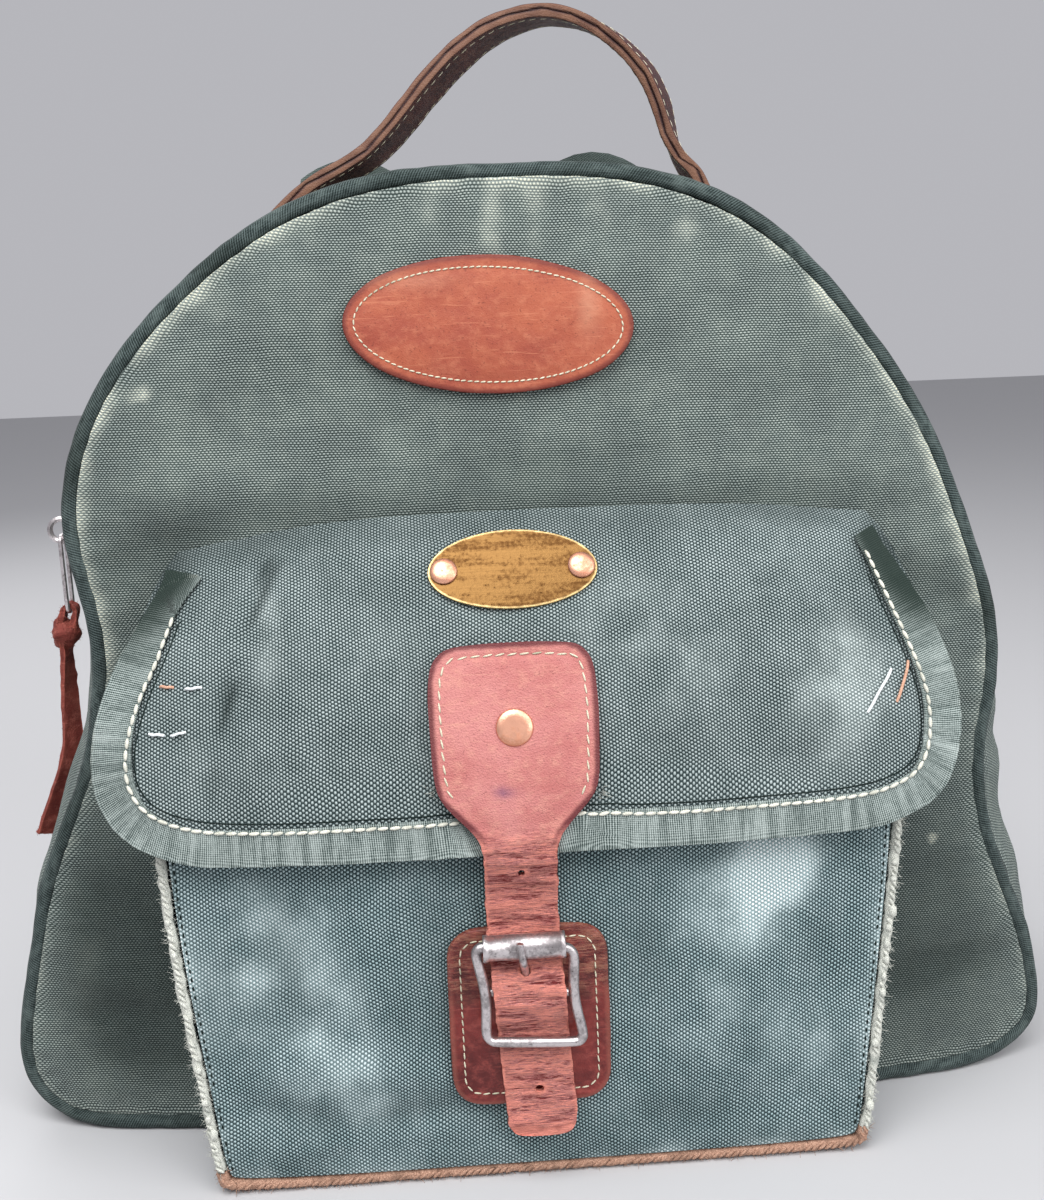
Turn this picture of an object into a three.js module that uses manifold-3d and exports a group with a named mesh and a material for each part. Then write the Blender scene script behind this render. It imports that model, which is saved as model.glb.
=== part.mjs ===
import * as THREE from 'three';
import { mergeVertices } from 'three/addons/utils/BufferGeometryUtils.js';
import Module from 'manifold-3d';

const wasm = await Module();
wasm.setup();

// Driving dimensions of the bag in millimetres. The front faces -Y, and the origin lies under
// the middle of the body on the surface that the bag stands on.
const bodyWidth = 384;
const bodyHeight = 338;
const bodyDepth = 130;
const frontBow = 17;
const panelBulge = 11;
const backBulge = 6;
const gussetBulge = 24;
const canvas = 2;
const clearance = 0.3;
const pipingDiameter = 5.6;

// Zip along the top arch
const zipEndHeight = 206;
const zipOpening = 9;
const zipTapeWidth = 28;
const zipTapeThickness = 1;
const zipChainWidth = 6;
const zipChainRise = 0.8;
const sliderAbove = 8;
const sliderLength = 17;
const sliderWidth = 11;
const sliderThickness = 6;
const ringDiameter = 11.5;
const ringWire = 2.4;
const pullLength = 30;
const pullWidth = 8;
const pullWire = 1.8;
const pullBend = 2.4;
const thongTail = 83;
const thongWidth = 8;
const thongThickness = 2;
const thongTwist = 50;
const knotDiameter = 12;
const thongLean = 3;

// Pocket and its flap
const pocketWidth = 250;
const pocketHeight = 150;
const pocketDepth = 48;
const pocketBulge = 4;
const pocketSideSwell = 4;
const pocketFoot = 0.3;
const pocketPipingDiameter = 4.4;
const flapWidth = 286;
const flapLength = 122;
const flapSeamHeight = 223;
const flapFall = 104;
const flapReach = 58;
const bindingWidth = 14;
const bindingBackWidth = 11;
const bindingThickness = 0.9;
const foldClearance = 0.7;

// Leather and metal on the front
const patchWidth = 98;
const patchHeight = 46;
const patchThickness = 2.4;
const patchCentreX = -5.5;
const patchCentreZ = 285;
const patchTilt = -3;
const plateWidth = 56;
const plateHeight = 28;
const plateThickness = 1.2;
const plateCentreX = -2;
const plateDown = 26;
const plateRivetDiameter = 9;
const plateRivetRise = 1.6;
const plateRivetInset = 1;
const tabWidth = 54;
const tabTopDown = 52;
const strapWidth = 23.4;
const strapThickness = 2.4;
const strapTipHeight = 19;
const strapShift = -4.5;
const strapLean = 4.4;
const strapHoleDiameter = 3;
const tabRivetDiameter = 12;
const tabRivetRise = 0.9;
const tabRivetDown = 80;
const bucklePatchWidth = 53;
const bucklePatchBottom = 30;
const bucklePatchTop = 92;
const bucklePatchRadius = 10;
const bucklePatchThickness = 2.4;
const bucklePatchStep = 10;
const buckleWidth = 36;
const buckleHeight = 38;
const buckleWire = 3.8;
const buckleCentreHeight = 72;
const buckleWaist = 1.8;
const buckleCorner = 3.5;
const buckleSideLean = 4.5;
const buckleBarDrop = 3.6;
const barDiameter = 3;
const rollerDiameter = 7;
const rollerLength = 26;
const tongueDiameter = 2.8;
const chapeWidth = 18;
const chapeThickness = 1.3;
const chapeTail = 9;

// Handle and shoulder straps
const handleSpan = 172;
const handleRise = 64;
const handleWidth = 23;
const handleThickness = 5.4;
const handlePadWidth = 32;
const handlePadLength = 27;
const handleSetBack = 32;
const shoulderStrapWidth = 42;
const shoulderStrapThickness = 3;
const shoulderStrapReach = 40;
const shoulderShift = -5;

// Outline of the body from the front, from the bottom up: height as a share of the body's
// height, edges as shares of half its width, and how far each side swells between its seams.
const bodyRows = [
  { up: 0.000, left: -0.830, right: 0.840, leftSwell: 0.00, rightSwell: 0.00 },
  { up: 0.009, left: -0.900, right: 0.925, leftSwell: 0.00, rightSwell: 0.00 },
  { up: 0.030, left: -0.953, right: 0.990, leftSwell: 0.08, rightSwell: 0.10 },
  { up: 0.059, left: -0.980, right: 1.015, leftSwell: 0.15, rightSwell: 0.25 },
  { up: 0.095, left: -0.985, right: 1.010, leftSwell: 0.25, rightSwell: 0.40 },
  { up: 0.148, left: -0.968, right: 0.993, leftSwell: 0.33, rightSwell: 0.60 },
  { up: 0.225, left: -0.935, right: 0.940, leftSwell: 0.35, rightSwell: 0.80 },
  { up: 0.296, left: -0.901, right: 0.898, leftSwell: 0.35, rightSwell: 0.95 },
  { up: 0.370, left: -0.838, right: 0.886, leftSwell: 0.38, rightSwell: 0.95 },
  { up: 0.430, left: -0.800, right: 0.903, leftSwell: 0.40, rightSwell: 0.60 },
  { up: 0.485, left: -0.780, right: 0.906, leftSwell: 0.40, rightSwell: 0.35 },
  { up: 0.540, left: -0.772, right: 0.893, leftSwell: 0.38, rightSwell: 0.28 },
  { up: 0.596, left: -0.786, right: 0.860, leftSwell: 0.35, rightSwell: 0.25 },
  { up: 0.651, left: -0.801, right: 0.826, leftSwell: 0.32, rightSwell: 0.22 },
  { up: 0.710, left: -0.790, right: 0.785, leftSwell: 0.25, rightSwell: 0.20 },
  { up: 0.769, left: -0.750, right: 0.729, leftSwell: 0.18, rightSwell: 0.16 },
  { up: 0.828, left: -0.680, right: 0.655, leftSwell: 0.12, rightSwell: 0.12 },
  { up: 0.884, left: -0.585, right: 0.576, leftSwell: 0.10, rightSwell: 0.10 },
  { up: 0.932, left: -0.480, right: 0.488, leftSwell: 0.10, rightSwell: 0.10 },
  { up: 0.967, left: -0.370, right: 0.388, leftSwell: 0.10, rightSwell: 0.10 },
  { up: 0.989, left: -0.255, right: 0.275, leftSwell: 0.10, rightSwell: 0.10 },
  { up: 0.999, left: -0.090, right: 0.125, leftSwell: 0.10, rightSwell: 0.10 },
];

// Side profile of the body: where its front and back seams lie, as shares of half its depth.
const depthRows = [
  { up: 0.00, front: 1.00, back: 1.00 },
  { up: 0.30, front: 1.02, back: 1.02 },
  { up: 0.60, front: 1.00, back: 1.00 },
  { up: 0.85, front: 0.93, back: 0.93 },
  { up: 1.00, front: 0.86, back: 0.86 },
];

// Dents and folds of the front panel: middle and size as shares of half the body's width and of
// its height, depth as a share of the panel's bulge.
const panelFolds = [
  { across: -0.72, up: 0.52, wide: 0.16, tall: 0.16, depth: 0.75 },
  { across: 0.84, up: 0.39, wide: 0.14, tall: 0.14, depth: 0.60 },
  { across: -0.78, up: 0.125, wide: 0.22, tall: 0.030, depth: 0.40 },
  { across: 0.80, up: 0.130, wide: 0.22, tall: 0.030, depth: 0.40 },
  { across: -0.10, up: 0.74, wide: 0.60, tall: 0.060, depth: 0.22 },
];

// Outline and side profile of the pocket's front: edges as shares of half its width, reach as a
// share of its depth.
const pocketRows = [
  { up: 0.000, left: -0.840, right: 0.850, reach: 1.08 },
  { up: 0.030, left: -0.885, right: 0.900, reach: 1.09 },
  { up: 0.090, left: -0.900, right: 0.915, reach: 1.09 },
  { up: 0.200, left: -0.915, right: 0.930, reach: 1.07 },
  { up: 0.400, left: -0.945, right: 0.955, reach: 1.03 },
  { up: 0.600, left: -0.970, right: 0.980, reach: 0.99 },
  { up: 0.800, left: -0.985, right: 1.000, reach: 0.96 },
  { up: 0.960, left: -0.990, right: 1.010, reach: 0.90 },
  { up: 1.000, left: -0.970, right: 0.990, reach: 0.88 },
];

// Outline of the flap laid flat, from its free edge up to its seam.
const flapRows = [
  { up: 0.000, left: -0.660, right: 0.700 },
  { up: 0.012, left: -0.760, right: 0.800 },
  { up: 0.055, left: -0.865, right: 0.905 },
  { up: 0.140, left: -0.940, right: 0.975 },
  { up: 0.270, left: -0.978, right: 1.005 },
  { up: 0.420, left: -0.978, right: 1.005 },
  { up: 0.560, left: -0.950, right: 0.975 },
  { up: 0.700, left: -0.905, right: 0.940 },
  { up: 0.850, left: -0.855, right: 0.900 },
  { up: 1.000, left: -0.805, right: 0.860 },
];

// Side profile of the flap from its seam: fall and reach as shares of their full sizes.
const flapProfile = [
  { along: 0.00, fall: 0.000, reach: 0.00 },
  { along: 0.05, fall: 0.014, reach: 0.12 },
  { along: 0.13, fall: 0.087, reach: 0.27 },
  { along: 0.24, fall: 0.195, reach: 0.43 },
  { along: 0.39, fall: 0.340, reach: 0.61 },
  { along: 0.55, fall: 0.505, reach: 0.77 },
  { along: 0.71, fall: 0.675, reach: 0.89 },
  { along: 0.86, fall: 0.845, reach: 0.97 },
  { along: 1.00, fall: 1.000, reach: 1.00 },
];
const flapSeamDrop = { left: 0.19, right: 0.10 };
const flapWrap = 0.16;

// Spoon-shaped tab: width along it as a share between the strap's width and the tab's.
const tabRows = [
  { down: 0.00, width: 0.40 },
  { down: 0.03, width: 0.70 },
  { down: 0.08, width: 0.90 },
  { down: 0.16, width: 1.00 },
  { down: 0.40, width: 1.00 },
  { down: 0.62, width: 0.96 },
  { down: 0.71, width: 0.87 },
  { down: 0.80, width: 0.46 },
  { down: 0.88, width: 0.12 },
  { down: 0.95, width: 0.01 },
  { down: 1.00, width: 0.00 },
];

// Heights of the strap's open holes above the tongue's.
const strapHoles = [33.2, -44];

// Handle between its two pads: place across as a share of its span, height above the top of the
// body as a share of its rise, and its twist in degrees.
const handleRows = [
  { across: -0.412, rise: 0.03, twist: -2 },
  { across: -0.349, rise: 0.09, twist: -6 },
  { across: -0.268, rise: 0.19, twist: -10 },
  { across: -0.198, rise: 0.37, twist: -13 },
  { across: -0.133, rise: 0.57, twist: -14 },
  { across: -0.070, rise: 0.74, twist: -14 },
  { across: 0.000, rise: 0.88, twist: -10 },
  { across: 0.060, rise: 0.95, twist: -6 },
  { across: 0.134, rise: 1.00, twist: 0 },
  { across: 0.200, rise: 0.98, twist: 6 },
  { across: 0.262, rise: 0.92, twist: 12 },
  { across: 0.326, rise: 0.80, twist: 17 },
  { across: 0.382, rise: 0.64, twist: 20 },
  { across: 0.412, rise: 0.45, twist: 20 },
  { across: 0.424, rise: 0.28, twist: 16 },
  { across: 0.446, rise: 0.13, twist: 8 },
  { across: 0.478, rise: 0.05, twist: 0 },
];

// Shoulder strap: place across as a share of half the body's width, height as a share of the
// body's height, and how far it stands off the back as a share of its reach.
const shoulderRows = [
  { across: 0.27, up: 0.880, reach: 0.00 },
  { across: 0.27, up: 0.940, reach: 0.04 },
  { across: 0.27, up: 1.010, reach: 0.12 },
  { across: 0.27, up: 1.045, reach: 0.32 },
  { across: 0.27, up: 1.020, reach: 0.56 },
  { across: 0.28, up: 0.930, reach: 0.80 },
  { across: 0.32, up: 0.780, reach: 0.97 },
  { across: 0.40, up: 0.600, reach: 1.00 },
  { across: 0.51, up: 0.400, reach: 0.86 },
  { across: 0.63, up: 0.220, reach: 0.50 },
  { across: 0.71, up: 0.120, reach: 0.18 },
  { across: 0.75, up: 0.070, reach: 0.09 },
];

// Value of a column at a key, read between the rows of a table.
function readTable(rows, keyName, key, columnName) {
  const next = rows.findIndex((row) => row[keyName] >= key);
  if (next <= 0) {
    return next === 0 ? rows[0][columnName] : rows[rows.length - 1][columnName];
  }
  const low = rows[next - 1];
  const high = rows[next];
  const share = (key - low[keyName]) / (high[keyName] - low[keyName]);
  return THREE.MathUtils.lerp(low[columnName], high[columnName], share);
}

// Closed outline through the edges of a table's rows. Its steps are counted from the right lower
// corner row, up the right side, over the top, down the left side and along the bottom.
function traceOutline(rows, size) {
  const edge = (row, side) => new THREE.Vector3(row[side] * size.halfWidth, 0, row.up * size.height);
  const lowest = rows[0];
  const highest = rows[rows.length - 1];
  const between = (row, from, to) => [0.25, 0.5, 0.75].map((share) => (
    edge(row, from).lerp(edge(row, to), share)
  ));
  const controls = [
    ...rows.map((row) => edge(row, 'right')),
    ...between(highest, 'right', 'left'),
    ...[...rows].reverse().map((row) => edge(row, 'left')),
    ...between(lowest, 'left', 'right'),
  ];
  const curve = new THREE.CatmullRomCurve3(controls, true, 'centripetal');
  const mirror = 2 * rows.length + 2;
  const corners = [size.cornerRow, size.topRow, mirror - size.topRow, mirror - size.cornerRow];
  corners.push(controls.length + size.cornerRow);
  const points = [];
  for (let side = 0; side < 4; side += 1) {
    const steps = side % 2 === 0 ? size.sideSteps : size.endSteps;
    for (let step = 0; step < steps; step += 1) {
      const place = THREE.MathUtils.lerp(corners[side], corners[side + 1], step / steps);
      const point = curve.getPoint((place / controls.length) % 1);
      points.push(new THREE.Vector2(point.x, Math.max(point.z, 0)));
    }
  }
  const directions = points.map((point, index) => {
    const next = points[(index + 1) % points.length];
    const along = next.clone().sub(point).normalize();
    return new THREE.Vector2(along.y, -along.x);
  });
  const mitres = directions.map((after, index) => {
    const before = directions[(index + points.length - 1) % points.length];
    return before.clone().add(after).divideScalar(1 + before.dot(after));
  });
  return { points, mitres, sideSteps: size.sideSteps, endSteps: size.endSteps };
}

// Point of an outline at a step, which need not be whole, moved outwards by an offset.
function outlineAt(outline, step, offset) {
  const count = outline.points.length;
  const whole = Math.floor(step);
  const low = ((whole % count) + count) % count;
  const high = (low + 1) % count;
  const share = step - whole;
  const point = outline.points[low].clone().lerp(outline.points[high], share);
  const mitre = outline.mitres[low].clone().lerp(outline.mitres[high], share);
  return point.addScaledVector(mitre, offset);
}

// Left and right edge of an outline at a height.
function spanAt(outline, height) {
  const heights = outline.points.map((point) => point.y);
  const margin = 0.5;
  const level = THREE.MathUtils.clamp(height, Math.min(...heights) + margin, Math.max(...heights) - margin);
  const span = { left: Infinity, right: -Infinity };
  outline.points.forEach((point, index) => {
    const next = outline.points[(index + 1) % outline.points.length];
    if (point.y === next.y || (point.y - level) * (next.y - level) > 0) {
      return;
    }
    const x = point.x + (next.x - point.x) * (level - point.y) / (next.y - point.y);
    span.left = Math.min(span.left, x);
    span.right = Math.max(span.right, x);
  });
  return span;
}

// Grid of points that fills an outline inside an inset, in rows from the bottom up.
function fillOutline(outline, inset) {
  const { sideSteps, endSteps } = outline;
  const topLeft = sideSteps + endSteps;
  const bottomLeft = topLeft + sideSteps;
  const at = (step) => outlineAt(outline, step, -inset);
  const blend = (first, second, share) => first.clone().lerp(second, share);
  const rows = [];
  for (let j = 0; j <= sideSteps; j += 1) {
    const v = j / sideSteps;
    const row = [];
    for (let i = 0; i <= endSteps; i += 1) {
      const u = i / endSteps;
      const upright = blend(at(bottomLeft + i), at(topLeft - i), v);
      const level = blend(at(bottomLeft - j), at(j), u);
      const corners = blend(
        blend(at(bottomLeft), at(0), u),
        blend(at(topLeft), at(sideSteps), u),
        v,
      );
      row.push(upright.add(level).sub(corners));
    }
    rows.push(row);
  }
  return rows;
}

// Geometry of a closed body from its points and triangles, with its faces turned outwards.
function closedGeometry(points, triangles) {
  const volume = triangles.reduce((sum, [a, b, c]) => {
    const cross = new THREE.Vector3().crossVectors(points[b], points[c]);
    return sum + points[a].dot(cross);
  }, 0);
  const index = triangles.flatMap(([a, b, c]) => (volume > 0 ? [a, b, c] : [a, c, b]));
  const geometry = new THREE.BufferGeometry().setFromPoints(points);
  geometry.setIndex(index);
  geometry.computeVertexNormals();
  return geometry;
}

function quad(a, b, c, d) {
  return [[a, b, c], [a, c, d]];
}

// Cloth wall between two tables of points. Rows run along the piece and close on themselves
// when it goes all the way round; columns run across it.
function wallGeometry(outer, inner, closed = false) {
  const rowCount = outer.length;
  const columnCount = outer[0].length;
  const points = [...outer.flat(), ...inner.flat()];
  const front = (row, column) => (row % rowCount) * columnCount + column;
  const back = (row, column) => front(row, column) + rowCount * columnCount;
  const triangles = [];
  const lastRow = closed ? rowCount : rowCount - 1;
  const lastColumn = columnCount - 1;
  for (let row = 0; row < lastRow; row += 1) {
    for (let column = 0; column < lastColumn; column += 1) {
      triangles.push(...quad(front(row, column), front(row, column + 1),
        front(row + 1, column + 1), front(row + 1, column)));
      triangles.push(...quad(back(row, column), back(row + 1, column),
        back(row + 1, column + 1), back(row, column + 1)));
    }
    triangles.push(...quad(front(row, 0), front(row + 1, 0), back(row + 1, 0), back(row, 0)));
    triangles.push(...quad(front(row, lastColumn), back(row, lastColumn),
      back(row + 1, lastColumn), front(row + 1, lastColumn)));
  }
  for (let column = 0; column < lastColumn && !closed; column += 1) {
    triangles.push(...quad(front(0, column), back(0, column),
      back(0, column + 1), front(0, column + 1)));
    triangles.push(...quad(front(lastRow, column), front(lastRow, column + 1),
      back(lastRow, column + 1), back(lastRow, column)));
  }
  return closedGeometry(points, triangles);
}

// Solid swept through convex sections of equal counts, closed on itself or capped.
function sweepGeometry(sections, closed = false) {
  const sides = sections[0].length;
  const points = sections.flat();
  const at = (row, side) => (row % sections.length) * sides + (side % sides);
  const triangles = [];
  const rows = closed ? sections.length : sections.length - 1;
  for (let row = 0; row < rows; row += 1) {
    for (let side = 0; side < sides; side += 1) {
      triangles.push(...quad(at(row, side), at(row, side + 1), at(row + 1, side + 1), at(row + 1, side)));
    }
  }
  for (let side = 1; side < sides - 1 && !closed; side += 1) {
    triangles.push([at(0, 0), at(0, side + 1), at(0, side)]);
    triangles.push([at(rows, 0), at(rows, side), at(rows, side + 1)]);
  }
  return closedGeometry(points, triangles);
}

// Round section about a point, in the plane of two directions.
function roundSection(centre, first, second, radius, sides) {
  return Array.from({ length: sides }, (_, side) => {
    const angle = (side + 0.5) * 2 * Math.PI / sides;
    return centre.clone()
      .addScaledVector(first, Math.cos(angle) * radius)
      .addScaledVector(second, Math.sin(angle) * radius);
  });
}

// Flat strap along a path: rows of a point, a width and a twist, with the strap's width lying
// near the side direction.
function ribbonGeometry(rows, thickness, sideways) {
  const sections = rows.map((row, index) => {
    const before = rows[Math.max(index - 1, 0)].point;
    const after = rows[Math.min(index + 1, rows.length - 1)].point;
    const along = after.clone().sub(before).normalize();
    const side = sideways.clone().addScaledVector(along, -sideways.dot(along)).normalize();
    side.applyAxisAngle(along, THREE.MathUtils.degToRad(row.twist ?? 0));
    const face = new THREE.Vector3().crossVectors(along, side);
    const corner = (across, out) => row.point.clone()
      .addScaledVector(side, across * row.width / 2)
      .addScaledVector(face, out * thickness / 2);
    return [corner(-1, -1), corner(1, -1), corner(1, 1), corner(-1, 1)];
  });
  return sweepGeometry(sections);
}

// Smooth run of points through a few control points.
function smoothRun(controls, steps) {
  return new THREE.CatmullRomCurve3(controls, false, 'centripetal').getPoints(steps);
}

// Thin piece that lies on a surface: rings from its middle to its edge, between two lifts.
function layGeometry(edge, centre, rings, surface, lowLift, thickness) {
  const levels = [lowLift, lowLift + thickness];
  const points = levels.map((lift) => surface(centre.x, centre.y, lift));
  for (const lift of levels) {
    for (let ring = 1; ring <= rings; ring += 1) {
      for (const corner of edge) {
        const place = centre.clone().lerp(corner, ring / rings);
        points.push(surface(place.x, place.y, lift));
      }
    }
  }
  const count = edge.length;
  const at = (level, ring, corner) => 2 + (level * rings + ring - 1) * count + (corner % count);
  const triangles = [];
  for (let corner = 0; corner < count; corner += 1) {
    triangles.push([0, at(0, 1, corner), at(0, 1, corner + 1)]);
    triangles.push([1, at(1, 1, corner + 1), at(1, 1, corner)]);
    for (let ring = 1; ring < rings; ring += 1) {
      triangles.push(...quad(at(0, ring, corner), at(0, ring + 1, corner),
        at(0, ring + 1, corner + 1), at(0, ring, corner + 1)));
      triangles.push(...quad(at(1, ring, corner), at(1, ring, corner + 1),
        at(1, ring + 1, corner + 1), at(1, ring + 1, corner)));
    }
    triangles.push(...quad(at(0, rings, corner), at(1, rings, corner),
      at(1, rings, corner + 1), at(0, rings, corner + 1)));
  }
  return closedGeometry(points, triangles);
}

function ovalEdge(centre, width, height, tilt, count) {
  const turn = THREE.MathUtils.degToRad(tilt);
  return Array.from({ length: count }, (_, index) => {
    const angle = index * 2 * Math.PI / count;
    const corner = new THREE.Vector2(Math.cos(angle) * width / 2, Math.sin(angle) * height / 2);
    return corner.rotateAround(new THREE.Vector2(), turn).add(centre);
  });
}

function roundedEdge(centre, width, height, radius, arcSteps) {
  const edge = [];
  for (let corner = 0; corner < 4; corner += 1) {
    const signX = corner === 0 || corner === 3 ? 1 : -1;
    const signZ = corner < 2 ? 1 : -1;
    const middle = new THREE.Vector2(signX * (width / 2 - radius), signZ * (height / 2 - radius));
    for (let step = 0; step <= arcSteps; step += 1) {
      const angle = (corner + step / arcSteps) * Math.PI / 2;
      edge.push(new THREE.Vector2(Math.cos(angle), Math.sin(angle)).multiplyScalar(radius)
        .add(middle).add(centre));
    }
  }
  return edge;
}

// Solid for a cut or a join, and the way back to a geometry.
function toSolid(geometry) {
  const plain = geometry.clone();
  plain.deleteAttribute('normal');
  plain.deleteAttribute('uv');
  const merged = mergeVertices(plain);
  const vertProperties = new Float32Array(merged.attributes.position.array);
  const triVerts = new Uint32Array(merged.index.array);
  return new wasm.Manifold(new wasm.Mesh({ numProp: 3, vertProperties, triVerts }));
}

function fromSolid(solid) {
  const mesh = solid.getMesh();
  const geometry = new THREE.BufferGeometry();
  geometry.setAttribute('position', new THREE.BufferAttribute(new Float32Array(mesh.vertProperties), 3));
  geometry.setIndex(new THREE.BufferAttribute(new Uint32Array(mesh.triVerts), 1));
  geometry.computeVertexNormals();
  return geometry;
}

function joinGeometries(geometries) {
  const [first, ...others] = geometries.map(toSolid);
  return fromSolid(others.reduce((whole, piece) => whole.add(piece), first));
}

function cutGeometry(geometry, cutters) {
  const whole = toSolid(geometry);
  return fromSolid(cutters.map(toSolid).reduce((rest, cutter) => rest.subtract(cutter), whole));
}

// Body outline and the surfaces that everything on the bag is placed on.
const body = traceOutline(bodyRows, {
  halfWidth: bodyWidth / 2, height: bodyHeight, cornerRow: 2, topRow: 17, sideSteps: 19, endSteps: 11,
});
const pocket = traceOutline(pocketRows, {
  halfWidth: pocketWidth / 2, height: pocketHeight, cornerRow: 1, topRow: 8, sideSteps: 10, endSteps: 8,
});
const flap = traceOutline(flapRows, {
  halfWidth: flapWidth / 2, height: flapLength, cornerRow: 2, topRow: 9, sideSteps: 10, endSteps: 10,
});

// How squarely the stuffed cloth swells between its seams, and how much of the side band's depth
// is drawn in to the piping.
const panelFullness = { across: 0.7, up: 0.6 };
const gussetFullness = 0.6;
const gussetTuck = 0.06;
const bowHeight = 0.33;

// How full a panel is at a place: nothing at its edge, one in its middle.
function fullness(outline, x, z, height) {
  const span = spanAt(outline, z);
  const u = THREE.MathUtils.clamp((x - span.left) / (span.right - span.left), 0, 1);
  const v = THREE.MathUtils.clamp(z / height, 0, 1);
  return (4 * u * (1 - u)) ** panelFullness.across * (4 * v * (1 - v)) ** panelFullness.up;
}

function frontSeamY(x, z) {
  const share = readTable(depthRows, 'up', z / bodyHeight, 'front');
  const across = Math.min(Math.abs(x) / (bodyWidth / 2), 1);
  const low = Math.max(1 - z / (bowHeight * bodyHeight), 0);
  return -share * bodyDepth / 2 - frontBow * (1 - across ** 3) * low ** 2;
}

function backSeamY(z) {
  return readTable(depthRows, 'up', z / bodyHeight, 'back') * bodyDepth / 2;
}

function panelSurface(x, z, lift) {
  const fold = panelFolds.reduce((sum, row) => {
    const across = (x / (bodyWidth / 2) - row.across) / row.wide;
    const up = (z / bodyHeight - row.up) / row.tall;
    return sum + row.depth * Math.exp(-(across ** 2 + up ** 2));
  }, 0);
  const swell = panelBulge * (1 - fold) * fullness(body, x, z, bodyHeight);
  return new THREE.Vector3(x, frontSeamY(x, z) - swell - lift, z);
}

function backSurface(x, z, lift) {
  return new THREE.Vector3(x, backSeamY(z) + backBulge * fullness(body, x, z, bodyHeight) + lift, z);
}

function pocketSurface(x, z, lift) {
  const reach = readTable(pocketRows, 'up', z / pocketHeight, 'reach');
  const swell = pocketBulge * fullness(pocket, x, z, pocketHeight);
  return new THREE.Vector3(x, -bodyDepth / 2 - pocketDepth * reach - swell - lift, z + pocketFoot);
}

const flapCurve = new THREE.CatmullRomCurve3(
  flapProfile.map((row) => new THREE.Vector3(row.along, row.fall, row.reach)), false, 'centripetal',
);

// Fall and reach of the flap at a share of its length.
function flapProfileAt(along) {
  let low = 0;
  let high = 1;
  for (let round = 0; round < 24; round += 1) {
    const middle = (low + high) / 2;
    if (flapCurve.getPoint(middle).x < along) {
      low = middle;
    } else {
      high = middle;
    }
  }
  return flapCurve.getPoint(low);
}

// Middle of the flap's cloth, at a place across it and a height above its free edge laid flat.
function flapMiddle(x, up) {
  const across = x / (flapWidth / 2);
  const drop = (across < 0 ? flapSeamDrop.left : flapSeamDrop.right) * Math.abs(across) ** 3;
  const seamZ = flapSeamHeight - drop * flapFall;
  const seam = panelSurface(x, seamZ, canvas + clearance);
  const profile = flapProfileAt(THREE.MathUtils.clamp(1 - up / flapLength, 0, 1));
  const fall = profile.y * flapFall * (1 - drop);
  const face = -bodyDepth / 2 - flapReach * (1 - flapWrap * Math.abs(across) ** 5);
  return new THREE.Vector3(x, THREE.MathUtils.lerp(seam.y, face, profile.z), seamZ - fall);
}

function flapNormal(x, up) {
  const step = 1;
  const across = flapMiddle(x + step, up).sub(flapMiddle(x - step, up));
  const along = flapMiddle(x, Math.min(up + step, flapLength)).sub(flapMiddle(x, Math.max(up - step, 0)));
  return across.cross(along).normalize();
}

function flapSurface(x, up, lift) {
  return flapMiddle(x, up).addScaledVector(flapNormal(x, up), lift);
}

// Panel of cloth that fills an outline, on a surface.
function panelGeometry(outline, inset, surface, thickness) {
  const grid = fillOutline(outline, inset);
  const layer = (lift) => grid.map((row) => row.map((place) => surface(place.x, place.y, lift)));
  return wallGeometry(layer(thickness / 2), layer(-thickness / 2));
}

function makeFrontPanel() {
  return panelGeometry(body, pipingDiameter + clearance, panelSurface, canvas);
}

function makeBackPanel() {
  return panelGeometry(body, pipingDiameter + clearance, backSurface, canvas);
}

// Piping along an outline, between two steps or all the way round.
function pipingSections(outline, steps, diameter, seamY, foot = 0) {
  const sides = 6;
  return steps.map((step) => {
    const edge = outlineAt(outline, step, 0);
    const middle = outlineAt(outline, step, -diameter / 2);
    const out = edge.clone().sub(middle).normalize();
    const centre = new THREE.Vector3(middle.x, seamY(edge.x, edge.y), middle.y + foot);
    const outwards = new THREE.Vector3(out.x, 0, out.y);
    const radius = diameter / 2;
    return roundSection(centre, outwards, new THREE.Vector3(0, 1, 0), radius, sides);
  });
}

function wholeSteps(from, to) {
  const steps = [from];
  for (let step = Math.floor(from) + 1; step < to; step += 1) {
    steps.push(step);
  }
  steps.push(to);
  return steps;
}

function makeBodyPiping(seamY) {
  const steps = body.points.map((_, index) => index);
  return sweepGeometry(pipingSections(body, steps, pipingDiameter, seamY), true);
}

// Step of the body's outline where one of its sides reaches a height.
function bodyStepAt(height, side) {
  const start = side === 'right' ? 0 : body.sideSteps + body.endSteps;
  for (let step = start; step < start + body.sideSteps; step += 1) {
    const low = body.points[step].y;
    const high = body.points[step + 1].y;
    if ((low - height) * (high - height) <= 0 && low !== high) {
      return step + (height - low) / (high - low);
    }
  }
  return start;
}

// Place on the side band at a step of the outline and a depth, lifted off its outer face.
function gussetSurface(step, depth, lift) {
  const edge = outlineAt(body, step, 0);
  const seam = pipingDiameter / 2 + clearance;
  const front = frontSeamY(edge.x, edge.y) + seam;
  const back = backSeamY(edge.y) - seam;
  const y = THREE.MathUtils.clamp(depth, front, back);
  const across = (y - front) / (back - front);
  const column = edge.x < 0 ? 'leftSwell' : 'rightSwell';
  const swell = gussetBulge * readTable(bodyRows, 'up', edge.y / bodyHeight, column);
  const tuckShare = Math.max(1 - Math.min(across, 1 - across) / gussetTuck, 0);
  const out = swell * Math.sin(Math.PI * across) ** gussetFullness - tuckShare * pipingDiameter / 2 + lift;
  const place = outlineAt(body, step, out);
  return new THREE.Vector3(place.x, y, place.y);
}

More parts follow.
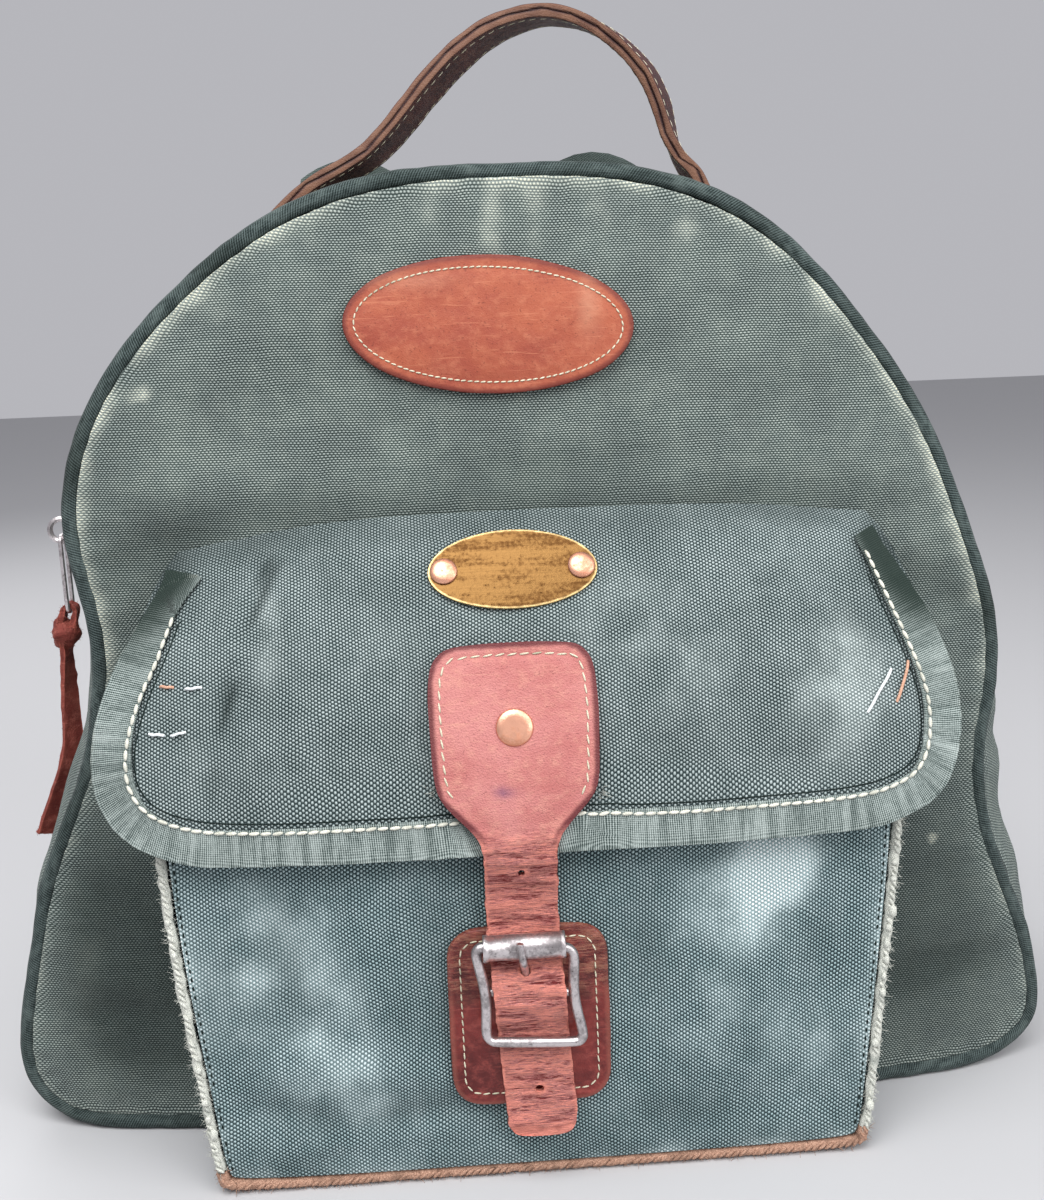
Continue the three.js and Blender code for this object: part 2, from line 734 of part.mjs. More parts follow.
// Band of cloth over the body's side, between two steps and two depths.
function bandGeometry(steps, depthAt, lift, thickness) {
  const layer = (height) => steps.map((step) => (
    depthAt(step).map((depth) => gussetSurface(step, depth, height))
  ));
  return wallGeometry(layer(lift), layer(lift - thickness));
}

function seamDepths(step) {
  const edge = outlineAt(body, step, 0);
  const seam = pipingDiameter / 2 + clearance;
  return { front: frontSeamY(edge.x, edge.y) + seam, back: backSeamY(edge.y) - seam };
}

const zipStart = bodyStepAt(zipEndHeight, 'right');
const zipEnd = bodyStepAt(zipEndHeight, 'left');
const zipJoint = 0.02;

function makeGussetBase() {
  const shares = [0, 0.06, 0.2, 0.4, 0.78, 0.94, 1];
  const steps = wholeSteps(zipEnd + zipJoint, body.points.length + zipStart - zipJoint);
  return bandGeometry(steps, (step) => {
    const { front, back } = seamDepths(step);
    return shares.map((share) => THREE.MathUtils.lerp(front, back, share));
  }, 0, canvas);
}

function makeGussetStrip(isFront) {
  const shares = [0, 0.15, 0.5, 1];
  return bandGeometry(wholeSteps(zipStart, zipEnd), (step) => {
    const { front, back } = seamDepths(step);
    const seam = isFront ? front : back;
    const side = isFront ? -1 : 1;
    const overTape = shares.map((share) => THREE.MathUtils.lerp(seam, side * zipTapeWidth / 2, share));
    return [...overTape, side * zipOpening / 2];
  }, 0, canvas);
}

function makeZipTape() {
  const half = zipTapeWidth / 2;
  return bandGeometry(wholeSteps(zipStart, zipEnd), () => [-half, 0, half],
    -canvas - clearance, zipTapeThickness);
}

function makeZipChain() {
  const half = zipChainWidth / 2;
  return bandGeometry(wholeSteps(zipStart, zipEnd), () => [-half, half],
    zipChainRise, zipChainRise + canvas);
}

// Frame of the zip slider: its seat on the chain, the way out from it and the way down from it.
function sliderFrame() {
  const step = bodyStepAt(zipEndHeight + sliderAbove, 'left');
  const seat = gussetSurface(step, 0, zipChainRise + clearance);
  const out = gussetSurface(step, 0, 1 + zipChainRise + clearance).sub(seat).normalize();
  const down = new THREE.Vector3().crossVectors(out, new THREE.Vector3(0, 1, 0));
  const ringCentre = seat.clone().addScaledVector(out, sliderThickness + ringDiameter / 2 - ringWire / 2);
  const hang = ringDiameter / 2 - ringWire - pullWire / 2 - clearance;
  const pivot = ringCentre.clone().add(new THREE.Vector3(0, 0, -hang));
  return { seat, out, down, ringCentre, pivot };
}

// Slider body with the ring that carries its pull, in one piece.
function makeZipSlider() {
  const { seat, out, down, ringCentre } = sliderFrame();
  const side = new THREE.Vector3(0, 1, 0);
  const plate = (share, width) => {
    const centre = seat.clone().addScaledVector(down, share * sliderLength);
    const corner = (across, lift) => centre.clone()
      .addScaledVector(side, across * width / 2).addScaledVector(out, lift);
    return [
      corner(-1, 0), corner(1, 0), corner(1, sliderThickness * 0.7), corner(0.7, sliderThickness),
      corner(-0.7, sliderThickness), corner(-1, sliderThickness * 0.7),
    ];
  };
  const shoe = sweepGeometry([
    plate(-0.5, sliderWidth * 0.7), plate(-0.3, sliderWidth), plate(0.2, sliderWidth),
    plate(0.5, sliderWidth * 0.75),
  ]);
  const ringSteps = 18;
  const ringRadius = (ringDiameter - ringWire) / 2;
  const ringSections = Array.from({ length: ringSteps }, (_, index) => {
    const angle = index * 2 * Math.PI / ringSteps;
    const outwards = out.clone().multiplyScalar(Math.cos(angle)).addScaledVector(down, Math.sin(angle));
    const centre = ringCentre.clone().addScaledVector(outwards, ringRadius);
    return roundSection(centre, outwards, side, ringWire / 2, 6);
  });
  return joinGeometries([shoe, sweepGeometry(ringSections, true)]);
}

// Long wire loop that hangs in the slider's ring and turns on it.
function makeZipPull() {
  const { pivot } = sliderFrame();
  const middle = new THREE.Vector2(0, -pullLength / 2);
  const path = roundedEdge(middle, pullWidth, pullLength, pullBend, 3);
  const sections = path.map((place, index) => {
    const before = path[(index + path.length - 1) % path.length];
    const after = path[(index + 1) % path.length];
    const along = after.clone().sub(before).normalize();
    const outwards = new THREE.Vector3(0, along.y, -along.x);
    const centre = pivot.clone().add(new THREE.Vector3(0, place.x, place.y));
    return roundSection(centre, outwards, new THREE.Vector3(1, 0, 0), pullWire / 2, 6);
  });
  return sweepGeometry(sections, true);
}

// Leather thong looped round the foot of the pull, knotted, with its tail leaning on the side.
function makePullThong() {
  const { pivot } = sliderFrame();
  const foot = pivot.clone().add(new THREE.Vector3(0, 0, -pullLength));
  const loopRadius = pullWire / 2 + 2 * clearance + thongThickness / 2;
  const loopWidth = pullWidth - pullWire - 2 * clearance;
  const knotDrop = loopRadius + knotDiameter / 2 + clearance;
  const knotCentre = foot.clone().add(new THREE.Vector3(-thongLean, 0, -knotDrop));
  const side = new THREE.Vector3(0, 1, 0);
  const loop = [];
  loop.push({ point: knotCentre.clone().add(new THREE.Vector3(-loopRadius, 0, 0)), width: loopWidth });
  for (let step = 0; step <= 6; step += 1) {
    const angle = Math.PI * (1 - step / 6);
    const turn = new THREE.Vector3(Math.cos(angle), 0, Math.sin(angle)).multiplyScalar(loopRadius);
    loop.push({ point: foot.clone().add(turn), width: loopWidth });
  }
  loop.push({ point: knotCentre.clone().add(new THREE.Vector3(loopRadius, 0, 0)), width: loopWidth });
  const knot = new THREE.SphereGeometry(knotDiameter / 2, 10, 8);
  knot.scale(0.85, 0.9, 1);
  knot.translate(knotCentre.x, knotCentre.y, knotCentre.z);
  const tail = [];
  const tailSteps = 7;
  for (let step = 0; step <= tailSteps; step += 1) {
    const z = knotCentre.z - (step / tailSteps) * thongTail;
    const flank = gussetSurface(bodyStepAt(z, 'left'), 0, clearance + thongWidth / 2);
    const x = Math.min(flank.x, knotCentre.x) - thongLean * (step / tailSteps);
    const twist = thongTwist * Math.min(2 * step / tailSteps, 1);
    tail.push({ point: new THREE.Vector3(x, 0, z), width: thongWidth, twist });
  }
  const solids = [
    ribbonGeometry(loop, thongThickness, side), knot, ribbonGeometry(tail, thongThickness, side),
  ];
  return joinGeometries(solids);
}

function pocketEdgeY(x, z) {
  return pocketSurface(x, z, 0).y;
}

function makePocketFront() {
  return panelGeometry(pocket, pocketPipingDiameter + clearance, pocketSurface, canvas);
}

// Depth at which the pocket's side meets the front of the body.
function pocketRootY(x, z) {
  const panel = panelSurface(x, z, canvas / 2).y;
  const seam = z < 2 * pipingDiameter ? frontSeamY(x, 0) - pipingDiameter / 2 : panel;
  return Math.min(panel, seam) - 2 * clearance;
}

const pocketLeftTop = pocket.sideSteps + pocket.endSteps;
const pocketRightTop = pocket.points.length + pocket.sideSteps;

function makePocketGusset() {
  const shares = [0, 0.35, 0.7, 1];
  const swellStart = 0.8;
  const radius = pocketPipingDiameter / 2;
  const layer = (lift) => wholeSteps(pocketLeftTop, pocketRightTop).map((step) => {
    const edge = outlineAt(pocket, step, 0);
    const front = pocketEdgeY(edge.x, edge.y) + radius + clearance;
    return shares.map((share) => {
      const sideways = Math.abs(edge.x) / (pocketWidth / 2);
      const swell = pocketSideSwell * Math.max(sideways - swellStart, 0) / (1 - swellStart);
      const place = outlineAt(pocket, step, swell * Math.sin(Math.PI * share) - radius + lift);
      const z = place.y + pocketFoot;
      return new THREE.Vector3(place.x, THREE.MathUtils.lerp(front, pocketRootY(place.x, z), share), z);
    });
  });
  return wallGeometry(layer(canvas / 2), layer(-canvas / 2));
}

// The pocket's front edge in three runs: left side, bottom hem and right side.
function makePocketEdging(from, to) {
  const steps = wholeSteps(from, to);
  return sweepGeometry(pipingSections(pocket, steps, pocketPipingDiameter, pocketEdgeY, pocketFoot));
}

const hemCorner = 0.5;
const hemJoint = 0.04;
const hemStart = pocketLeftTop + pocket.sideSteps - hemCorner;
const hemEnd = pocket.points.length + hemCorner;

function makePocketFlap() {
  const inset = bindingThickness + clearance;
  return panelGeometry(flap, inset, flapSurface, canvas);
}

// Tape folded over the flap's free edges, from one end of its seam to the other.
function makeFlapBinding() {
  const inside = canvas / 2 + foldClearance;
  const outside = inside + bindingThickness;
  const outerFold = [
    [bindingWidth, outside], [0.5, outside], [0, outside / 2],
    [0, -outside / 2], [0.5, -outside], [bindingBackWidth, -outside],
  ];
  const innerFold = [
    [bindingWidth, inside], [bindingThickness, inside], [bindingThickness, inside / 2],
    [bindingThickness, -inside / 2], [bindingThickness, -inside], [bindingBackWidth, -inside],
  ];
  const seamMargin = 0.8;
  const steps = wholeSteps(flap.sideSteps + flap.endSteps + seamMargin,
    flap.points.length + flap.sideSteps - seamMargin);
  const layer = (fold) => steps.map((step) => fold.map(([inset, lift]) => {
    const place = outlineAt(flap, step, -inset);
    return flapSurface(place.x, place.y, lift);
  }));
  return wallGeometry(layer(outerFold), layer(innerFold));
}

function makeOvalPatch() {
  const centre = new THREE.Vector2(patchCentreX, patchCentreZ);
  const edge = ovalEdge(centre, patchWidth, patchHeight, patchTilt, 32);
  return layGeometry(edge, centre, 3, panelSurface, canvas / 2 + clearance, patchThickness);
}

function makeNamePlate() {
  const centre = new THREE.Vector2(plateCentreX, flapLength - plateDown);
  const edge = ovalEdge(centre, plateWidth, plateHeight, 0, 28);
  return layGeometry(edge, centre, 3, flapSurface, canvas / 2 + clearance, plateThickness);
}

// Round rivet head, domed by its rise, with its axis along +Y.
function rivetGeometry(diameter, rise) {
  const radius = diameter / 2;
  const profile = [[0, 0], [radius, 0], [radius, 0.35 * rise], [0.7 * radius, 0.85 * rise], [0, rise]];
  return new THREE.LatheGeometry(profile.map(([x, y]) => new THREE.Vector2(x, y)), 18);
}

// Puts a rivet on the flap's cloth at a lift, square to it.
function seatRivet(mesh, x, up, lift) {
  const seat = flapSurface(x, up, lift);
  mesh.position.copy(seat);
  mesh.quaternion.setFromUnitVectors(new THREE.Vector3(0, 1, 0), flapNormal(x, up));
  return mesh;
}

const flapStackLift = canvas / 2 + foldClearance + bindingThickness + clearance;
const bucklePatchLift = canvas / 2 + clearance;
const strapOnPatchLift = bucklePatchLift + bucklePatchThickness + clearance + strapThickness / 2;
const frameLift = strapOnPatchLift + strapThickness / 2 + clearance + rollerDiameter / 2;
const barLift = frameLift - buckleWire / 2;
const strapOnBarLift = barLift + barDiameter / 2 + clearance + strapThickness / 2;

// Place on the pocket's front at a real height, lifted off the middle of its cloth.
function onPocket(x, height, lift) {
  return pocketSurface(x, height - pocketFoot, lift);
}

// Middle of the strap at a height: below the patch's top it leans to the right.
function strapX(height) {
  const share = Math.max(bucklePatchTop - height, 0) / (bucklePatchTop - strapTipHeight);
  return strapShift + strapLean * share;
}

function onStrapLine(height, lift) {
  return onPocket(strapX(height), height, lift);
}

// Place in the buckle's own upright plane, at a height and a lift off the pocket's cloth.
function onBuckle(height, lift) {
  const place = onStrapLine(buckleCentreHeight, lift);
  return new THREE.Vector3(strapX(height), place.y, height);
}

function buckleTopHeight() {
  return buckleCentreHeight + (buckleHeight - buckleWire) / 2;
}

function buckleBottomHeight() {
  return buckleCentreHeight - (buckleHeight - buckleWire) / 2;
}

// Tab and strap in one piece of leather: down the flap, under the top of the buckle, over its
// middle bar, under its bottom and on to the tip.
function makeFlapStrap(tongueCutter) {
  const tabLength = flapLength - tabTopDown;
  const onFlap = tabRows.map((row) => {
    const width = strapWidth + (tabWidth - strapWidth) * row.width;
    const up = tabLength * (1 - row.down);
    return { point: flapSurface(strapShift, up, flapStackLift + strapThickness / 2), width };
  });
  const rowAt = (height, lift, width = strapWidth) => ({ point: onStrapLine(height, lift), width });
  const top = buckleTopHeight();
  const bottom = buckleBottomHeight();
  const edgeHeight = onFlap[onFlap.length - 1].point.z;
  const cutDepth = 10 * strapThickness;
  const ease = 5;
  const below = [
    rowAt((edgeHeight + bucklePatchTop) / 2, strapOnPatchLift + 1),
    rowAt(bucklePatchTop + 2, strapOnPatchLift),
    rowAt(top, strapOnPatchLift),
    rowAt(top - ease, strapOnPatchLift + 0.8),
    rowAt(buckleCentreHeight + ease, strapOnBarLift - 0.8),
    rowAt(buckleCentreHeight, strapOnBarLift),
    rowAt(buckleCentreHeight - ease, strapOnBarLift - 0.8),
    rowAt(bottom + ease, strapOnPatchLift + 0.8),
    rowAt(bottom, strapOnPatchLift),
    rowAt((bottom + strapTipHeight) / 2, strapOnPatchLift),
    rowAt(strapTipHeight + 3, strapOnPatchLift),
    rowAt(strapTipHeight, strapOnPatchLift, strapWidth * 0.72),
  ];
  const strap = ribbonGeometry([...onFlap, ...below], strapThickness, new THREE.Vector3(1, 0, 0));
  const holes = strapHoles.map((above) => {
    const height = tongueHoleHeight() + above;
    const hole = new THREE.CylinderGeometry(strapHoleDiameter / 2, strapHoleDiameter / 2, cutDepth, 8);
    const place = onStrapLine(height, strapOnPatchLift);
    hole.translate(place.x, place.y, place.z);
    return hole;
  });
  return cutGeometry(strap, [tongueCutter, ...holes]);
}

function tongueHoleHeight() {
  return (buckleTopHeight() + buckleCentreHeight) / 2;
}

// Puts a part of the worn buckle out of square, about the buckle's middle: its sides lean left
// and its bars drop to the right.
function leanBuckle(geometry) {
  const middleX = strapX(buckleCentreHeight);
  const lean = Math.tan(THREE.MathUtils.degToRad(buckleSideLean));
  const drop = Math.tan(THREE.MathUtils.degToRad(buckleBarDrop));
  geometry.translate(-middleX, 0, -buckleCentreHeight);
  geometry.applyMatrix4(new THREE.Matrix4().makeShear(0, -drop, 0, 0, -lean, 0));
  geometry.translate(middleX, 0, buckleCentreHeight);
  return geometry;
}

// Tongue from the middle bar up through the strap on to the roller.
function makeBuckleTongue(diameter) {
  const radius = tongueDiameter / 2;
  const top = buckleTopHeight();
  const rollerFace = frameLift + rollerDiameter / 2 + clearance + radius;
  const controls = [
    onBuckle(buckleCentreHeight + barDiameter / 2 + clearance + radius, barLift),
    onBuckle(tongueHoleHeight(), barLift + radius),
    onBuckle(top - rollerDiameter / 2, rollerFace - 0.5),
    onBuckle(top, rollerFace),
    onBuckle(top + rollerDiameter / 2, rollerFace),
  ];
  const path = smoothRun(controls, 9);
  const side = new THREE.Vector3(1, 0, 0);
  return leanBuckle(sweepGeometry(path.map((point, index) => {
    const before = path[Math.max(index - 1, 0)];
    const after = path[Math.min(index + 1, path.length - 1)];
    const face = after.clone().sub(before).normalize().cross(side);
    return roundSection(point, side, face, diameter / 2, 8);
  })));
}

function makeBucklePatch() {
  const height = bucklePatchTop - bucklePatchBottom;
  const centre = new THREE.Vector2(strapX(buckleCentreHeight), bucklePatchBottom + height / 2 - pocketFoot);
  const edge = roundedEdge(centre, bucklePatchWidth, height, bucklePatchRadius, 4);
  const dense = edge.flatMap((corner, index) => {
    const next = edge[(index + 1) % edge.length];
    const pieces = Math.max(Math.round(corner.distanceTo(next) / bucklePatchStep), 1);
    return Array.from({ length: pieces }, (_, piece) => corner.clone().lerp(next, piece / pieces));
  });
  return layGeometry(dense, centre, 3, pocketSurface, bucklePatchLift, bucklePatchThickness);
}

// Buckle frame with a waist at its middle bar.
function makeBuckleFrame() {
  const halfWidth = (buckleWidth - buckleWire) / 2;
  const height = buckleHeight - buckleWire;
  const middleX = strapX(buckleCentreHeight);
  const corners = roundedEdge(new THREE.Vector2(), 2 * halfWidth, height, buckleCorner, 3);
  const sideSteps = 3;
  const path = corners.flatMap((corner, index) => {
    const next = corners[(index + 1) % corners.length];
    const isSide = Math.abs(corner.x - next.x) < 0.01;
    return Array.from({ length: isSide ? sideSteps + 1 : 1 }, (_, piece) => (
      corner.clone().lerp(next, piece / (sideSteps + 1))
    ));
  });
  const centreY = onBuckle(buckleCentreHeight, frameLift).y;
  const waisted = path.map((place) => {
    const pinch = Math.cos(Math.PI * place.y / height) ** 2 * buckleWaist;
    return new THREE.Vector2(place.x * (1 - pinch / halfWidth), place.y);
  });
  const depth = new THREE.Vector3(0, 1, 0);
  const sections = waisted.map((place, index) => {
    const before = waisted[(index + waisted.length - 1) % waisted.length];
    const after = waisted[(index + 1) % waisted.length];
    const along = after.clone().sub(before).normalize();
    const outwards = new THREE.Vector3(along.y, 0, -along.x);
    const centre = new THREE.Vector3(middleX + place.x, centreY, buckleCentreHeight + place.y);
    return roundSection(centre, outwards, depth, buckleWire / 2, 8);
  });
  const barLength = 2 * (halfWidth - buckleWaist);
  const bar = new THREE.CylinderGeometry(barDiameter / 2, barDiameter / 2, barLength, 10);
  bar.rotateZ(Math.PI / 2);
  const barSeat = onBuckle(buckleCentreHeight, barLift);
  bar.translate(barSeat.x, barSeat.y, barSeat.z);
  return leanBuckle(joinGeometries([sweepGeometry(sections, true), bar]));
}

// Roller on the top of the frame: a sleeve with a closed profile.
function makeBuckleRoller() {
  const inner = buckleWire / 2 + clearance;
  const outer = rollerDiameter / 2;
  const half = rollerLength / 2;
  const profile = [[inner, -half], [outer, -half], [outer, half], [inner, half], [inner, -half]];
  const roller = new THREE.LatheGeometry(profile.map(([x, y]) => new THREE.Vector2(x, y)), 16);
  roller.rotateZ(Math.PI / 2);
  const centreY = onBuckle(buckleCentreHeight, frameLift).y;
  roller.translate(strapX(buckleCentreHeight), centreY, buckleTopHeight());
  return leanBuckle(roller);
}

// Hidden leather loop that holds the buckle's middle bar to its patch, below the tongue.
function makeBuckleChape() {
  const bar = onBuckle(buckleCentreHeight, barLift);
  const radius = barDiameter / 2 + clearance + chapeThickness / 2;
  const patchLift = bucklePatchLift + bucklePatchThickness + clearance + chapeThickness / 2;
  const rows = [];
  rows.push({ point: onStrapLine(buckleCentreHeight - chapeTail, patchLift), width: chapeWidth });
  rows.push({ point: onStrapLine(buckleCentreHeight - chapeTail / 2, patchLift), width: chapeWidth });
  for (let step = 0; step <= 3; step += 1) {
    const angle = -Math.PI / 2 + (step / 3) * Math.PI * 0.6;
    const turn = new THREE.Vector3(0, -Math.sin(angle), -Math.cos(angle)).multiplyScalar(radius);
    rows.push({ point: bar.clone().add(turn), width: chapeWidth });
  }
  return leanBuckle(ribbonGeometry(rows, chapeThickness, new THREE.Vector3(1, 0, 0)));
}

// Doubled leather handle with a pad at each end, lying on the highest part of the rear strip under it.
function makeTopHandle() {
  const topZ = bodyHeight * bodyRows[bodyRows.length - 1].up;
  const lift = 2 * clearance + handleThickness / 2;
  const padPlace = (x) => {
    const steps = wholeSteps(zipStart, zipEnd).filter((step) => Number.isInteger(step));
    const step = steps.reduce((best, candidate) => (
      Math.abs(body.points[candidate % body.points.length].x - x)
        < Math.abs(body.points[best % body.points.length].x - x) ? candidate : best
    ));
    const here = outlineAt(body, step, 0);
    const next = outlineAt(body, step + 1, 0);
    const exact = step + (x - here.x) / (next.x - here.x);
    const place = gussetSurface(exact, handleSetBack - handlePadWidth / 2, lift);
    return place.setY(handleSetBack);
  };
  const half = handleSpan / 2;
  const padRows = (side) => [1, 0.6, 0.3, 0].map((share) => ({
    point: padPlace(side * (half + share * handlePadLength)),
    width: THREE.MathUtils.lerp(handleWidth, handlePadWidth, Math.min(share * 2, 1)),
    twist: 0,
  }));
  const free = handleRows.map((row) => ({
    point: new THREE.Vector3(row.across * handleSpan, handleSetBack, topZ + row.rise * handleRise),
    width: handleWidth,
    twist: row.twist,
  }));
  const rows = [...padRows(-1), ...free, ...padRows(1).reverse()];
  return ribbonGeometry(rows, handleThickness, new THREE.Vector3(0, 1, 0));
}

function makeShoulderStrap(side) {
  const lift = canvas / 2 + clearance + shoulderStrapThickness / 2;
  const controls = shoulderRows.map((row) => {
    const x = shoulderShift + side * row.across * bodyWidth / 2;
    const z = row.up * bodyHeight;
    const level = Math.min(z, bodyHeight - shoulderStrapWidth / 2);
    const edges = [-1, 0, 1].map((edge) => x + edge * shoulderStrapWidth / 2);
    const back = Math.max(...edges.map((edge) => backSurface(edge, level, lift).y));
    return new THREE.Vector3(x, back + row.reach * shoulderStrapReach, z);
  });
  const steps = 26;
  const rows = smoothRun(controls, steps).map((point) => ({ point, width: shoulderStrapWidth }));
  return ribbonGeometry(rows, shoulderStrapThickness, new THREE.Vector3(1, 0, 0));
}

const finishes = {
  canvasGreen: { color: 0x4c6b66, roughness: 0.95, metalness: 0 },
  pipingGreen: { color: 0x3b5850, roughness: 0.95, metalness: 0 },
  tapeGreen: { color: 0x5b7a70, roughness: 0.95, metalness: 0 },
  cream: { color: 0xc9c3ad, roughness: 0.95, metalness: 0 },
  tan: { color: 0xb98a63, roughness: 0.9, metalness: 0 },
  orangeLeather: { color: 0xa4553a, roughness: 0.6, metalness: 0 },
  pinkLeather: { color: 0xa8625a, roughness: 0.6, metalness: 0 },
  redLeather: { color: 0x6d2c26, roughness: 0.45, metalness: 0 },
  brownLeather: { color: 0x6b3a2c, roughness: 0.6, metalness: 0 },
  brass: { color: 0xc6a24a, roughness: 0.3, metalness: 1 },
  copper: { color: 0xd0946a, roughness: 0.35, metalness: 1 },
  nickel: { color: 0xb9b7b0, roughness: 0.3, metalness: 1 },
  zipBlack: { color: 0x24302e, roughness: 0.8, metalness: 0 },
};

const bag = new THREE.Group();

function add(name, geometry, finish) {
  const mesh = new THREE.Mesh(geometry, new THREE.MeshStandardMaterial(finishes[finish]));
  mesh.name = name;
  bag.add(mesh);
  return mesh;
}

add('front_panel', makeFrontPanel(), 'canvasGreen');
add('back_panel', makeBackPanel(), 'canvasGreen');
add('gusset_base', makeGussetBase(), 'canvasGreen');
add('gusset_front', makeGussetStrip(true), 'canvasGreen');
add('gusset_rear', makeGussetStrip(false), 'canvasGreen');
add('front_piping', makeBodyPiping(frontSeamY), 'pipingGreen');
add('back_piping', makeBodyPiping((x, z) => backSeamY(z)), 'pipingGreen');

add('zip_tape', makeZipTape(), 'zipBlack');
add('zip_chain', makeZipChain(), 'brass');
add('zip_slider', makeZipSlider(), 'nickel');
add('zip_pull', makeZipPull(), 'nickel');
add('pull_thong', makePullThong(), 'redLeather');

add('pocket_front', makePocketFront(), 'canvasGreen');
add('pocket_gusset', makePocketGusset(), 'canvasGreen');
add('pocket_piping_left', makePocketEdging(pocketLeftTop, hemStart - hemJoint), 'cream');
add('pocket_hem', makePocketEdging(hemStart, hemEnd), 'tan');
add('pocket_piping_right', makePocketEdging(hemEnd + hemJoint, pocketRightTop), 'cream');
add('pocket_flap', makePocketFlap(), 'canvasGreen');
add('flap_binding', makeFlapBinding(), 'tapeGreen');

add('oval_patch', makeOvalPatch(), 'orangeLeather');
add('name_plate', makeNamePlate(), 'brass');
for (const [name, side] of [['plate_rivet_left', -1], ['plate_rivet_right', 1]]) {
  const x = plateCentreX + side * ((plateWidth - plateRivetDiameter) / 2 - plateRivetInset);
  const lift = canvas / 2 + 2 * clearance + plateThickness;
  const rivet = add(name, rivetGeometry(plateRivetDiameter, plateRivetRise), 'copper');
  seatRivet(rivet, x, flapLength - plateDown, lift);
}
add('flap_strap', makeFlapStrap(makeBuckleTongue(tongueDiameter + 2 * clearance)), 'pinkLeather');
const tabRivet = add('tab_rivet', rivetGeometry(tabRivetDiameter, tabRivetRise), 'copper');
seatRivet(tabRivet, strapShift, flapLength - tabRivetDown, flapStackLift + strapThickness + clearance);
add('buckle_patch', makeBucklePatch(), 'redLeather');
add('buckle_chape', makeBuckleChape(), 'redLeather');
add('buckle_frame', makeBuckleFrame(), 'nickel');
add('buckle_roller', makeBuckleRoller(), 'nickel');
add('buckle_tongue', makeBuckleTongue(tongueDiameter), 'nickel');

add('top_handle', makeTopHandle(), 'brownLeather');
add('shoulder_strap_left', makeShoulderStrap(-1), 'canvasGreen');
add('shoulder_strap_right', makeShoulderStrap(1), 'canvasGreen');

export default bag;
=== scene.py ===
import math
import random

import bmesh
import bpy
import numpy as np
from mathutils import Matrix, Vector, noise
from mathutils.bvhtree import BVHTree
from mathutils.kdtree import KDTree


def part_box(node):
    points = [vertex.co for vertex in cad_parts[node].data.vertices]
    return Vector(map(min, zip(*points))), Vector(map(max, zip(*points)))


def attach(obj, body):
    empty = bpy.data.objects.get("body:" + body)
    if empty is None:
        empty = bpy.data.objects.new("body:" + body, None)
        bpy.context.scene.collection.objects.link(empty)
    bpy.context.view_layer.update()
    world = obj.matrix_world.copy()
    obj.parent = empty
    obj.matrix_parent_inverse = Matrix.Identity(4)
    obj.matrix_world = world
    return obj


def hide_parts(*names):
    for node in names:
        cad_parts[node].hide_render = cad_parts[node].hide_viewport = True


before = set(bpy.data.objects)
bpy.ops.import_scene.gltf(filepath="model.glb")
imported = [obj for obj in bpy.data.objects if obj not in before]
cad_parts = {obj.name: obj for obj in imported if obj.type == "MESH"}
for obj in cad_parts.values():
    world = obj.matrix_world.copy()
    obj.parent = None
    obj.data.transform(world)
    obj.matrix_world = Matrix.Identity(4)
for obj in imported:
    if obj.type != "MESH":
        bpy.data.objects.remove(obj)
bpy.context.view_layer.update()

random.seed(11)
mm = 0.001


class Value:  # a socket that takes part in sums
    def __init__(self, shade, socket):
        self.shade, self.socket = shade, socket


def sums(operation, swapped=False):
    def work(self, other):
        first, second = (other, self) if swapped else (self, other)
        return self.shade.add("ShaderNodeMath", {"operation": operation}, {0: first, 1: second})
    return work


Value.__add__, Value.__radd__ = sums("ADD"), sums("ADD", True)
Value.__sub__, Value.__rsub__ = sums("SUBTRACT"), sums("SUBTRACT", True)
Value.__mul__ = sums("MULTIPLY")


